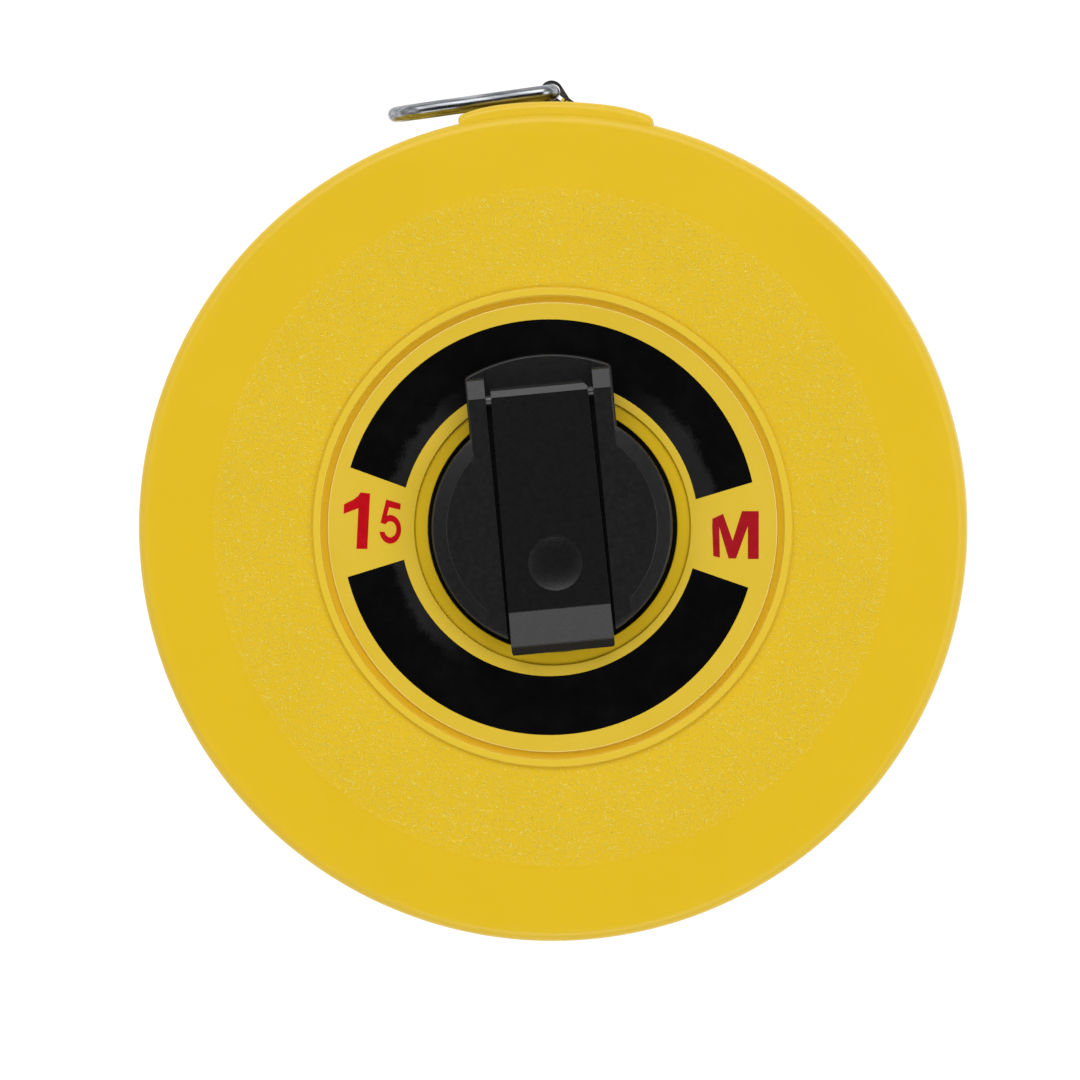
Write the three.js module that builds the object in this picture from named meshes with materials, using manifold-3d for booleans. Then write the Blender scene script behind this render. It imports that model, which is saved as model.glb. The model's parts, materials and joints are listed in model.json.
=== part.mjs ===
// A closed-case long tape reel: a round plastic case in two halves holds a spool with a
// 15 m fibreglass tape, wound by a crank hub whose folding lever lies in a slot of the hub.
// The tape's free end leaves through a mouth in the rim and carries a hinged wire ring.
//
// Millimetres. The reel lies on its back: +Z is the spindle axis and points out of the
// crank side, +Y points to the mouth, and the origin is where the spindle axis meets the
// flat back. Angles are in degrees, measured from +X towards +Y.
import * as THREE from "three";
import { mergeVertices } from "three/addons/utils/BufferGeometryUtils.js";
import Module from "manifold-3d";

const wasm = await Module();
wasm.setup();

// ---- Driving dimensions -------------------------------------------------------------

const TAPE_LENGTH = 15000;
const TAPE_WIDTH = 12.5;
const TAPE_THICK = 0.42;

const CASE_R = 56;
const CASE_DEPTH = 23.3;
const WALL = 2.2;
const CORE_R = 15.5;
const CRANK_TURN = 5.4; // how far the crank stands turned from +Y when the reel is put away

// Depths of one case half, measured inwards from its bead, which is its proudest plane.
const FACE_DEPTH = 0.6;
const SEAT_DEPTH = 0.85;
const GROOVE_DEPTH = 1.05;
const RECESS_DEPTH = 1.0;
const INSIDE_DEPTH = FACE_DEPTH + WALL;
const PARTING_GAP = 0.1;
const HALF_DEPTH = (CASE_DEPTH - PARTING_GAP) / 2;
const TONGUE_HEIGHT = 1.3;

// Radii of the rings moulded into each face.
const HUB_HOLE_R = 16.8;
const RECESS_R = 18.55;
const SEAT_R = 30.4;
const BEAD_INNER_R = 31.3;
const BEAD_OUTER_R = 32.3;
const EDGE_ROUND = 1.4;
const SIDE_DRAFT = 0.2;
const INSIDE_R = CASE_R - WALL;
const TONGUE_R = 54.7;
const REAR_DISC_R = 9.5;

const LABEL_R = 30.25;
const LABEL_THICK = 0.25;
const LABEL_GAP = 0.05;
const FRONT_LABEL_HOLE_R = 18.7;
const REAR_LABEL_HOLE_R = 9.7;

// The mouth: a low pad on the rim, with a channel for the ring and a slanting tape slot.
const PAD_R = 57.4;
const PAD_RIGHT = 75.8;
const PAD_LEFT = 103.1;
const PAD_HALF_WIDTH = 10.2;
const PAD_CORNER = 1.9;
const CHANNEL_FLOOR_R = 56.4;
const CHANNEL_HALF_WIDTH = 7.75;
const CHANNEL_END_X = 4;
const SLOT_HEIGHT = 2.8;
const SLOT_WIDTH = 13.9;

// Case screws, driven from the back.
const SCREW_CIRCLE_R = 51.1;
const SCREW_ANGLES = [30, 150, 270];
const SCREW_BOSS_R = 2.2;
const SCREW_RIB = 1.6;
const SCREW_HEAD_R = 1.9;
const SCREW_HEAD_HEIGHT = 1.3;
const SCREW_SHANK_R = 1.0;
const SCREW_LENGTH = 13;
const SCREW_SEAT_Z = 3.05;

// The spool.
const SPINDLE_R = 3.5;
const SPINDLE_TOP = 10.4;
const THRUST_R = 7;
const BEARING_INNER_R = 3.59;
const BEARING_OUTER_R = 6;
const CORE_INNER_R = 12.6;
const FLANGE_R = 48.3;
const FLANGE_THICK = 1.2;
const REAR_FLANGE_Z = 3.4;
const CORE_TOP_Z = 18.6;
const WEB_Z = 10.6;
const WEB_THICK = 1.6;
const COIL_GAP = 0.15;
const ANCHOR_CIRCLE_R = 14.1;
const ANCHOR_HOLE_R = 1.0;
const ANCHOR_PIN_R = 0.6;
const ANCHOR_SLIT = 0.8;

// The crank hub, in its own frame: +Y points to the lever's hinge.
const HUB_R = 16.2;
const HUB_STEP_Z = 20.2;
const HUB_RIM_Z = 27.0;
const HUB_TOP_Z = 27.5;
const PLATEAU_R = 14.2;
const HUB_SHANK_R = 12.3;
const HUB_BOTTOM_Z = 12.5;
const HUB_CAVITY_R = 10.6;
const HUB_CAVITY_TOP_Z = 22.6;
const NECK_HALF_WIDTH = 9.93;
const NECK_R = 23.35;
const NECK_BOTTOM_Z = 23.35;
const NECK_STEP = 0.28; // how far the neck stands out round the bar
const SLOT_FLOOR_Z = 24.4;
const LEVER_SLOT_HALF = 7.3;
const BAR_END_R = 15.5; // where the bar that carries the ears ends, below the hub's middle
const EAR_SLOPE_Y = 18.1;
const EAR_END_Y = 20.75;
const EAR_DROP = 0.75;
const EAR_FOOT_Z = 25.1;
const HUB_SCREW_X = 8.2;
const HUB_SCREW_Y = 3.0;
const HUB_SCREW_R = 1.2;
const HUB_SCREW_HEAD_R = 2.2;
const HUB_SCREW_HEAD_HEIGHT = 1.4;
const HUB_SCREW_LENGTH = 6;

// The folding lever.
const HINGE_Y = 17.75;
const HINGE_Z = 26.25;
const BARREL_R = 1.4;
const HINGE_PIN_R = 0.7;
const HEEL_R = 1.55;
const LEVER_UNDER_Z = 25.05;
const LEVER_TIP_Y = -16.8;
const LIP_START_Y = -10.9;
const LIP_TOP_Y = -15.6;
const LIP_HEIGHT = 1.05;
const LEVER_HALF_HINGE = 6.52;
const LEVER_HALF_TIP = 6.95;
const LEVER_SKIN = 1.35;
const LEVER_RIM = 1.3;
const LEVER_TOP_Z = HINGE_Z + BARREL_R;

// The knob under the lever, which hides in a pocket of the hub when folded.
const KNOB_Y = -4.87;
const KNOB_R = 4.0;
const KNOB_TOP_Z = 24.75;
const KNOB_BOTTOM_Z = 17.0;
const POCKET_R = 4.3;
const POCKET_SWING = 1.75; // extra length that the knob's foot needs as it swings out
const POCKET_FLOOR_Z = 16.6;
const POCKET_WALL = 1.2;
const STUD_HEAD_R = 3.8;
const STUD_R = 1.8;
const STUD_SEAT_Z = LEVER_TOP_Z - 1.0;
const STUD_END_Z = 18.75;
const KNOB_SCREW_TIP_Z = 22;
const KNOB_SCREW_HEAD_R = 2.4;
const KNOB_SCREW_HEAD_HEIGHT = 1.15;
const KNOB_SCREW_R = 0.85;
const DISH_DEPTH = 0.36;

// The ring at the tape's end.
const RING_WIRE_R = 1.0;
const RING_BAR_X = -0.23;
const RING_BAR_Y = 58.78;
const RING_ANGLE = 188.1;
const RING_LENGTH = 21.4;
const RING_HALF_WIDTH = 6.5;
const RING_BAR_CORNER = 1.6;
const RING_END_CORNER = 4.6;
const CLIP_SHEET = 0.4;
const CLIP_LOOP_R = 1.55;
const CLIP_LOOP_WIDTH = 9;
const CLIP_FLARE_LENGTH = 2;
const CLIP_LEG_WIDTH = 12.9;
const CLIP_LEG_START = 25;
const CLIP_HALF_THICK = 0.67;
const RIVET_S = 28;
const RIVET_Z = 3.4;
const RIVET_R = 0.8;
const RIVET_HEAD_R = 1.3;
const RIVET_HEAD_OUT = 1.05;

const FINE = 52; // facets round the case and the coil
const MEDIUM = 36; // facets round the hub and the spool's core
const SMALL = 16; // facets round screws, pins and the knob

// ---- Worked-out sizes -----------------------------------------------------------------

const MIDDLE_Z = CASE_DEPTH / 2;
const INNER_TURN_R = CORE_R + COIL_GAP;
const COIL_R = Math.sqrt(INNER_TURN_R ** 2 + (TAPE_LENGTH * TAPE_THICK) / Math.PI);
const TAPE_LINE_R = COIL_R + COIL_GAP + TAPE_THICK / 2;
const BAR_DISTANCE = Math.hypot(RING_BAR_X, RING_BAR_Y);
// The tape leaves the coil at this angle and runs straight to the ring's bar.
const LEAVE_ANGLE =
  Math.atan2(RING_BAR_Y, RING_BAR_X) - Math.acos(TAPE_LINE_R / BAR_DISTANCE);
const BAR_S = Math.sqrt(BAR_DISTANCE ** 2 - TAPE_LINE_R ** 2);
const TAPE_TAIL_S = -2;
const TAPE_HEAD_S = BAR_S - 1.7;

// ---- Materials ------------------------------------------------------------------------

const material = (color, roughness, metalness = 0) =>
  new THREE.MeshStandardMaterial({ color, roughness, metalness });
const yellowPlastic = material(0xe2bd29, 0.4);
const blackPlastic = material(0x1d1d1d, 0.4);
const labelFilm = material(0xe1c337, 0.25);
const whitePlastic = material(0xdedbd2, 0.5);
const tapeFilm = material(0xe8d44a, 0.45);
const steel = material(0xb8babd, 0.3, 1);
const chrome = material(0xd5d7da, 0.12, 1);

// ---- Shape helpers --------------------------------------------------------------------

const radians = THREE.MathUtils.degToRad;

// A closed geometry as a manifold-3d solid, for joining and cutting.
function solidOf(geometry) {
  const bare = new THREE.BufferGeometry();
  const loose = geometry.index ? geometry.toNonIndexed() : geometry;
  bare.setAttribute("position", loose.getAttribute("position"));
  const merged = mergeVertices(bare, 1e-4);
  const corners = merged.index.array;
  const triVerts = [];
  for (let i = 0; i < corners.length; i += 3) {
    const [a, b, c] = corners.slice(i, i + 3);
    if (a !== b && b !== c && c !== a) triVerts.push(a, b, c);
  }
  const vertProperties = merged.getAttribute("position").array;
  const build = (tris) =>
    new wasm.Manifold(
      new wasm.Mesh({ numProp: 3, vertProperties, triVerts: new Uint32Array(tris) }),
    );
  const made = build(triVerts);
  return made.volume() > 0 ? made : build(triVerts.reverse());
}

// A manifold-3d solid as a geometry.
function geometryOf(solid) {
  const { vertProperties, triVerts, numProp, numVert } = solid.getMesh();
  const position = new Float32Array(numVert * 3);
  for (let i = 0; i < numVert; i++)
    position.set(vertProperties.subarray(i * numProp, i * numProp + 3), i * 3);
  const geometry = new THREE.BufferGeometry();
  geometry.setAttribute("position", new THREE.BufferAttribute(position, 3));
  geometry.setIndex(new THREE.BufferAttribute(triVerts, 1));
  geometry.computeVertexNormals();
  return geometry;
}

function part(name, solid, look) {
  const mesh = new THREE.Mesh(geometryOf(solid), look);
  mesh.name = name;
  return mesh;
}

// A solid of revolution about Z. The profile lists [radius, z] and closes on itself or
// starts and ends on the axis.
function turned(profile, facets) {
  const points = profile.map(([r, z]) => new THREE.Vector2(r, z));
  const onAxis = profile[0][0] === 0 && profile.at(-1)[0] === 0;
  if (!onAxis) points.push(points[0].clone());
  return solidOf(new THREE.LatheGeometry(points, facets).rotateX(Math.PI / 2));
}

const tube = (inner, outer, z0, z1, facets) =>
  turned([[inner, z0], [outer, z0], [outer, z1], [inner, z1]], facets);

function rod(r, z0, z1, x = 0, y = 0, facets = SMALL) {
  const cylinder = new THREE.CylinderGeometry(r, r, z1 - z0, facets);
  return solidOf(cylinder.rotateX(Math.PI / 2).translate(x, y, (z0 + z1) / 2));
}

// A rod along X through (0, y, z).
function crossRod(r, halfLength, y, z, facets = SMALL) {
  const cylinder = new THREE.CylinderGeometry(r, r, 2 * halfLength, facets);
  return solidOf(cylinder.rotateZ(Math.PI / 2).translate(0, y, z));
}

function box(x0, x1, y0, y1, z0, z1) {
  const geometry = new THREE.BoxGeometry(x1 - x0, y1 - y0, z1 - z0);
  return solidOf(geometry.translate((x0 + x1) / 2, (y0 + y1) / 2, (z0 + z1) / 2));
}

function prism(shape, z0, z1, curveSegments = 12) {
  const options = { depth: z1 - z0, bevelEnabled: false, curveSegments };
  return solidOf(new THREE.ExtrudeGeometry(shape, options).translate(0, 0, z0));
}

const shapeOf = (points) => new THREE.Shape(points.map(([x, y]) => new THREE.Vector2(x, y)));

// Points on an arc, in the profile's own plane.
function arc(cx, cy, r, from, to, steps) {
  return Array.from({ length: steps + 1 }, (_, i) => {
    const a = radians(from + ((to - from) * i) / steps);
    return [cx + r * Math.cos(a), cy + r * Math.sin(a)];
  });
}

// A side profile of [y, z] points, extruded along X between x0 and x1.
function sideways(points, x0, x1) {
  const flat = new THREE.ExtrudeGeometry(shapeOf(points), {
    depth: x1 - x0,
    bevelEnabled: false,
  });
  const turn = new THREE.Matrix4().makeBasis(
    new THREE.Vector3(0, 1, 0),
    new THREE.Vector3(0, 0, 1),
    new THREE.Vector3(1, 0, 0),
  );
  return solidOf(flat.applyMatrix4(turn).translate(x0, 0, 0));
}

// A round-ended slot along Y between two centres, as a solid.
function longRound(r, y0, y1, z0, z1) {
  const outline = [...arc(0, y1, r, 0, 180, 12), ...arc(0, y0, r, 180, 360, 12)];
  return prism(shapeOf(outline), z0, z1);
}

// A pan-head screw: its head's underside is at z, its shank points up.
function screw(name, headR, headHeight, shankR, length, x, y, z) {
  const profile = [
    [0, -headHeight],
    [headR * 0.7, -headHeight],
    [headR, -headHeight * 0.55],
    [headR, 0],
    [shankR, 0],
    [shankR, length - shankR],
    [0, length],
  ];
  const mesh = part(name, turned(profile, SMALL), steel);
  mesh.position.set(x, y, z);
  return mesh;
}

// A point in tape coordinates: s along the tape towards its end from where it leaves the
// coil, n outwards from the straight tape's middle.
function onTape(s, n) {
  const r = TAPE_LINE_R + n;
  return [
    r * Math.cos(LEAVE_ANGLE) - s * Math.sin(LEAVE_ANGLE),
    r * Math.sin(LEAVE_ANGLE) + s * Math.cos(LEAVE_ANGLE),
  ];
}

// A block in tape coordinates, centred on the tape's width.
function tapeBlock(s0, s1, n0, n1, width) {
  const corners = [onTape(s0, n0), onTape(s1, n0), onTape(s1, n1), onTape(s0, n1)];
  return prism(shapeOf(corners), MIDDLE_Z - width / 2, MIDDLE_Z + width / 2);
}

// ---- The case -------------------------------------------------------------------------

// Half of the case as a profile of [radius, depth], depth inwards from the bead's plane.
// The centre differs: it is the list of points from the inside face to the label seat.
function halfProfile(centre, rim) {
  const sideR = CASE_R - SIDE_DRAFT;
  return [
    ...centre,
    [SEAT_R, SEAT_DEPTH],
    [SEAT_R, GROOVE_DEPTH],
    [BEAD_INNER_R, GROOVE_DEPTH],
    [BEAD_INNER_R + 0.05, 0.2],
    [BEAD_INNER_R + 0.25, 0],
    [BEAD_OUTER_R - 0.25, 0],
    [BEAD_OUTER_R - 0.05, 0.2],
    [BEAD_OUTER_R, FACE_DEPTH],
    ...arc(sideR - EDGE_ROUND, FACE_DEPTH + EDGE_ROUND, EDGE_ROUND, -90, 0, 4),
    ...rim,
    [INSIDE_R, INSIDE_DEPTH],
  ];
}

// The low pad on the rim that carries the mouth, between two depths.
function mouthPad(z0, z1) {
  const rootR = INSIDE_R + 0.6;
  const turn = THREE.MathUtils.radToDeg(PAD_CORNER / PAD_R);
  const polar = (r, a) => [r * Math.cos(radians(a)), r * Math.sin(radians(a))];
  const outline = [
    polar(rootR, PAD_RIGHT),
    polar(PAD_R - PAD_CORNER, PAD_RIGHT),
    polar(PAD_R - PAD_CORNER * 0.3, PAD_RIGHT + turn * 0.3),
    ...arc(0, 0, PAD_R, PAD_RIGHT + turn, PAD_LEFT - turn, 10),
    polar(PAD_R - PAD_CORNER * 0.3, PAD_LEFT - turn * 0.3),
    polar(PAD_R - PAD_CORNER, PAD_LEFT),
    ...arc(0, 0, rootR, PAD_LEFT, PAD_RIGHT + turn, 8),
  ];
  return prism(shapeOf(outline), z0, z1);
}

// What the mouth takes out of both halves: the ring's channel and the tape's slot.
function mouthCut() {
  const endAngle = THREE.MathUtils.radToDeg(Math.acos(CHANNEL_END_X / CHANNEL_FLOOR_R));
  const farR = PAD_R + 8;
  const outline = [
    ...arc(0, 0, CHANNEL_FLOOR_R, endAngle, PAD_LEFT + 8, 10),
    ...arc(0, 0, farR, PAD_LEFT + 8, endAngle, 4),
  ];
  outline[outline.length - 1] = [CHANNEL_END_X, farR];
  const channel = prism(
    shapeOf(outline),
    MIDDLE_Z - CHANNEL_HALF_WIDTH,
    MIDDLE_Z + CHANNEL_HALF_WIDTH,
  );
  const half = SLOT_HEIGHT / 2;
  return channel.add(tapeBlock(20, BAR_S - 0.8, -half, half, SLOT_WIDTH));
}

// A screw boss of one case half with its rib to the side wall.
function screwBoss(angle, z0, z1) {
  const post = rod(SCREW_BOSS_R, z0, z1, SCREW_CIRCLE_R, 0);
  const rib = box(
    SCREW_CIRCLE_R,
    INSIDE_R + 0.8,
    -SCREW_RIB / 2,
    SCREW_RIB / 2,
    z0,
    z1,
  );
  return post.add(rib).rotate([0, 0, angle]);
}

const screwHole = (angle, r, z0, z1) =>
  rod(r, z0, z1, SCREW_CIRCLE_R, 0).rotate([0, 0, angle]);

function rearShell() {
  const centre = [
    [THRUST_R, INSIDE_DEPTH],
    [THRUST_R, REAR_FLANGE_Z - 0.2],
    [SPINDLE_R, REAR_FLANGE_Z - 0.2],
    [SPINDLE_R, SPINDLE_TOP - 0.5],
    [SPINDLE_R - 0.5, SPINDLE_TOP],
    [0, SPINDLE_TOP],
    [0, 0],
    [REAR_DISC_R, 0],
    [REAR_DISC_R, SEAT_DEPTH],
  ];
  const rim = [
    [CASE_R, HALF_DEPTH],
    [TONGUE_R, HALF_DEPTH],
    [TONGUE_R, HALF_DEPTH + TONGUE_HEIGHT],
    [INSIDE_R, HALF_DEPTH + TONGUE_HEIGHT],
  ];
  // The spindle is on the axis, so the profile is rotated to start and end there.
  const loop = halfProfile(centre, rim);
  const start = centre.length - 3;
  const profile = [...loop.slice(start), ...loop.slice(0, start)];
  let shell = turned(profile, FINE);
  shell = shell.add(mouthPad(MIDDLE_Z - PAD_HALF_WIDTH, HALF_DEPTH));
  for (const angle of SCREW_ANGLES) {
    shell = shell.add(screwBoss(angle, FACE_DEPTH + 0.6, HALF_DEPTH));
    shell = shell.subtract(screwHole(angle, SCREW_HEAD_R + 0.2, -1, SCREW_SEAT_Z));
    shell = shell.subtract(screwHole(angle, SCREW_SHANK_R + 0.25, 0, HALF_DEPTH + 1));
  }
  return shell.subtract(mouthCut());
}

function frontShell() {
  const flip = ([r, depth]) => [r, CASE_DEPTH - depth];
  const centre = [
    [HUB_HOLE_R, INSIDE_DEPTH],
    [HUB_HOLE_R, RECESS_DEPTH],
    [RECESS_R, RECESS_DEPTH],
    [RECESS_R, SEAT_DEPTH],
  ];
  const rebate = TONGUE_HEIGHT + 0.3;
  const rim = [
    [CASE_R, HALF_DEPTH],
    [TONGUE_R + 0.2, HALF_DEPTH],
    [TONGUE_R + 0.2, HALF_DEPTH - rebate],
    [INSIDE_R, HALF_DEPTH - rebate],
  ];
  const bottom = CASE_DEPTH - HALF_DEPTH;
  let shell = turned(halfProfile(centre, rim).map(flip), FINE);
  shell = shell.add(mouthPad(bottom, MIDDLE_Z + PAD_HALF_WIDTH));
  const tongueSpace = tube(INSIDE_R - 1, TONGUE_R + 0.2, bottom - 1, bottom + rebate, FINE);
  shell = shell.subtract(tongueSpace);
  for (const angle of SCREW_ANGLES) {
    shell = shell.add(screwBoss(angle, bottom + rebate, CASE_DEPTH - FACE_DEPTH - 1));
    const pilotTop = SCREW_SEAT_Z + SCREW_LENGTH + 1;
    shell = shell.subtract(screwHole(angle, SCREW_SHANK_R + 0.1, bottom - 1, pilotTop));
  }
  return shell.subtract(mouthCut());
}

function addCase(group) {
  group.add(part("rear_shell", rearShell(), yellowPlastic));
  group.add(part("front_shell", frontShell(), yellowPlastic));
  const frontSeat = CASE_DEPTH - SEAT_DEPTH + LABEL_GAP;
  const rearSeat = SEAT_DEPTH - LABEL_GAP;
  group.add(
    part(
      "front_label",
      tube(FRONT_LABEL_HOLE_R, LABEL_R, frontSeat, frontSeat + LABEL_THICK, FINE),
      labelFilm,
    ),
    part(
      "rear_label",
      tube(REAR_LABEL_HOLE_R, LABEL_R, rearSeat - LABEL_THICK, rearSeat, FINE),
      labelFilm,
    ),
  );
  SCREW_ANGLES.forEach((angle, i) => {
    group.add(
      screw(
        `case_screw_${i + 1}`,
        SCREW_HEAD_R,
        SCREW_HEAD_HEIGHT,
        SCREW_SHANK_R,
        SCREW_LENGTH,
        SCREW_CIRCLE_R * Math.cos(radians(angle)),
        SCREW_CIRCLE_R * Math.sin(radians(angle)),
        SCREW_SEAT_Z - 0.05,
      ),
    );
  });
}

// ---- The spool and the wound tape -------------------------------------------------------

function spoolDrum() {
  const flangeTop = REAR_FLANGE_Z + FLANGE_THICK;
  const webTop = WEB_Z + WEB_THICK;
  const profile = [
    [BEARING_INNER_R, REAR_FLANGE_Z],
    [BEARING_OUTER_R, REAR_FLANGE_Z],
    [BEARING_OUTER_R, WEB_Z],
    [CORE_INNER_R, WEB_Z],
    [CORE_INNER_R, REAR_FLANGE_Z],
    [FLANGE_R, REAR_FLANGE_Z],
    [FLANGE_R, flangeTop],
    [CORE_R, flangeTop],
    [CORE_R, CORE_TOP_Z],
    [CORE_INNER_R, CORE_TOP_Z],
    [CORE_INNER_R, webTop],
    [BEARING_INNER_R, webTop],
  ];
  let drum = turned(profile, MEDIUM);
  for (const x of [-HUB_SCREW_X, HUB_SCREW_X])
    drum = drum.subtract(rod(HUB_SCREW_R + 0.2, WEB_Z - 1, webTop + 1, x, HUB_SCREW_Y));
  const bore = rod(ANCHOR_HOLE_R, flangeTop + 0.4, CORE_TOP_Z + 1, 0, ANCHOR_CIRCLE_R);
  const slit = box(
    -ANCHOR_SLIT / 2,
    ANCHOR_SLIT / 2,
    ANCHOR_CIRCLE_R,
    CORE_R + 1,
    flangeTop + 0.4,
    CORE_TOP_Z + 1,
  );
  return drum.subtract(bore.add(slit));
}

function addSpool(group) {
  const flangeZ = CORE_TOP_Z + 0.1;
  const tapeZ = MIDDLE_Z - TAPE_WIDTH / 2;
  group.add(
    part("spool_drum", spoolDrum(), whitePlastic),
    part(
      "spool_front_flange",
      tube(HUB_SHANK_R + 0.3, FLANGE_R, flangeZ, flangeZ + FLANGE_THICK, MEDIUM),
      blackPlastic,
    ),
    part(
      "tape_coil",
      tube(INNER_TURN_R, COIL_R, tapeZ, tapeZ + TAPE_WIDTH, FINE),
      tapeFilm,
    ),
    part(
      "tape_anchor_pin",
      rod(ANCHOR_PIN_R, tapeZ, CORE_TOP_Z - 0.4, 0, ANCHOR_CIRCLE_R, 12),
      steel,
    ),
  );
  [-HUB_SCREW_X, HUB_SCREW_X].forEach((x, i) => {
    group.add(
      screw(
        `hub_screw_${i + 1}`,
        HUB_SCREW_HEAD_R,
        HUB_SCREW_HEAD_HEIGHT,
        HUB_SCREW_R,
        HUB_SCREW_LENGTH,
        x,
        HUB_SCREW_Y,
        WEB_Z - 0.1,
      ),
    );
  });
}

// ---- The crank ----------------------------------------------------------------------------

function crankHub() {
  const body = turned(
    [
      [0, HUB_BOTTOM_Z],
      [HUB_SHANK_R, HUB_BOTTOM_Z],
      [HUB_SHANK_R, HUB_STEP_Z],
      [HUB_R, HUB_STEP_Z],
      [HUB_R, HUB_RIM_Z],
      [PLATEAU_R, HUB_TOP_Z],
      [0, HUB_TOP_Z],
    ],
    MEDIUM,
  );
  const cornerAngle = THREE.MathUtils.radToDeg(Math.acos(NECK_HALF_WIDTH / NECK_R));
  const neckOutline = [
    [-NECK_HALF_WIDTH, 0],
    [NECK_HALF_WIDTH, 0],
    ...arc(0, 0, NECK_R, cornerAngle, 180 - cornerAngle, 10),
  ];
  const neck = prism(shapeOf(neckOutline), NECK_BOTTOM_Z, SLOT_FLOOR_Z);
  // The bar that carries both ears runs across the hub and just over its rim.
  const earProfile = [
    [-BAR_END_R, NECK_BOTTOM_Z],
    [NECK_R, NECK_BOTTOM_Z],
    [NECK_R, EAR_FOOT_Z],
    [EAR_END_Y + 0.1, EAR_FOOT_Z],
    [EAR_END_Y, HUB_TOP_Z - EAR_DROP - 0.3],
    [EAR_END_Y - 0.3, HUB_TOP_Z - EAR_DROP],
    [EAR_SLOPE_Y, HUB_TOP_Z],
    [-BAR_END_R, HUB_TOP_Z],
  ];
  const barHalf = NECK_HALF_WIDTH - NECK_STEP;
  const earEndR = NECK_R - NECK_STEP;
  const earEndAngle = THREE.MathUtils.radToDeg(Math.acos(BAR_END_R / earEndR));
  const barPlan = [
    ...arc(0, 0, BAR_END_R, 180, 360, 24),
    ...arc(0, 0, earEndR, earEndAngle, 180 - earEndAngle, 16),
  ];
  const ears = sideways(earProfile, -barHalf, barHalf).intersect(
    prism(shapeOf(barPlan), NECK_BOTTOM_Z - 1, HUB_TOP_Z + 1),
  );
  const leverSlot = box(
    -LEVER_SLOT_HALF,
    LEVER_SLOT_HALF,
    -HUB_R - 1,
    NECK_R + 1,
    SLOT_FLOOR_Z,
    HUB_TOP_Z + 1,
  );
  const pocketFoot = KNOB_Y - POCKET_SWING;
  const pocket = longRound(POCKET_R, pocketFoot, KNOB_Y, POCKET_FLOOR_Z, HUB_TOP_Z + 1);
  const wallR = POCKET_R + POCKET_WALL;
  const cavityFloor = HUB_BOTTOM_Z - 1;
  let cavity = rod(HUB_CAVITY_R, cavityFloor, HUB_CAVITY_TOP_Z, 0, 0, MEDIUM);
  cavity = cavity.subtract(
    longRound(wallR, pocketFoot, KNOB_Y, POCKET_FLOOR_Z - POCKET_WALL, HUB_TOP_Z),
  );
  let hub = body.add(neck).add(ears);
  for (const x of [-HUB_SCREW_X, HUB_SCREW_X]) {
    cavity = cavity.subtract(
      rod(HUB_SCREW_R + 1.4, HUB_BOTTOM_Z, HUB_TOP_Z, x, HUB_SCREW_Y),
    );
    hub = hub.subtract(
      rod(HUB_SCREW_R + 0.1, cavityFloor, HUB_BOTTOM_Z + 6, x, HUB_SCREW_Y),
    );
  }
  return hub
    .subtract(cavity)
    .subtract(leverSlot)
    .subtract(pocket)
    .subtract(crossRod(HINGE_PIN_R + 0.08, NECK_HALF_WIDTH + 1, HINGE_Y, HINGE_Z));
}

function crankLever() {
  const footAngle = THREE.MathUtils.radToDeg(
    Math.asin((HINGE_Z - LEVER_UNDER_Z) / HEEL_R),
  );
  const profile = [
    [LIP_START_Y, LEVER_TOP_Z],
    [LIP_TOP_Y, LEVER_TOP_Z + LIP_HEIGHT],
    [LIP_TOP_Y - 0.15, LEVER_TOP_Z + LIP_HEIGHT - 0.1],
    [LEVER_TIP_Y + 0.1, LEVER_TOP_Z - 0.8],
    [LEVER_TIP_Y, LEVER_TOP_Z - 1.3],
    [LEVER_TIP_Y + 1.4, LEVER_UNDER_Z],
    ...arc(HINGE_Y, HINGE_Z, HEEL_R, -180 + footAngle, 12, 8),
    [HINGE_Y + 1.25, LEVER_TOP_Z - 0.32],
    [HINGE_Y + 0.35, LEVER_TOP_Z],
  ];
  const halfWide = LEVER_HALF_TIP + 0.1;
  const bar = sideways(profile, -halfWide, halfWide);
  const plan = shapeOf([
    [-LEVER_HALF_TIP, LEVER_TIP_Y - 0.1],
    [LEVER_HALF_TIP, LEVER_TIP_Y - 0.1],
    [LEVER_HALF_HINGE, HINGE_Y + HEEL_R - 0.7],
    [LEVER_HALF_HINGE - 0.8, HINGE_Y + HEEL_R + 0.1],
    [-LEVER_HALF_HINGE, HINGE_Y + HEEL_R + 0.1],
  ]);
  const bossR = KNOB_R + 0.2;
  const pocketTop = LEVER_TOP_Z - LEVER_SKIN;
  const coring = box(
    -LEVER_HALF_HINGE + LEVER_RIM,
    LEVER_HALF_HINGE - LEVER_RIM,
    LEVER_TIP_Y + 2.8,
    HINGE_Y - BARREL_R - 0.8,
    LEVER_UNDER_Z - 1,
    pocketTop,
  ).subtract(rod(bossR, LEVER_UNDER_Z - 2, LEVER_TOP_Z, 0, KNOB_Y));
  return bar
    .intersect(prism(plan, LEVER_UNDER_Z - 2, LEVER_TOP_Z + 3))
    .subtract(coring)
    .subtract(rod(STUD_R + 0.1, LEVER_UNDER_Z - 1, LEVER_TOP_Z + 1, 0, KNOB_Y))
    .subtract(rod(STUD_HEAD_R + 0.1, STUD_SEAT_Z, LEVER_TOP_Z + 1, 0, KNOB_Y))
    .subtract(crossRod(HINGE_PIN_R + 0.12, LEVER_HALF_TIP + 1, HINGE_Y, HINGE_Z));
}

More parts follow.
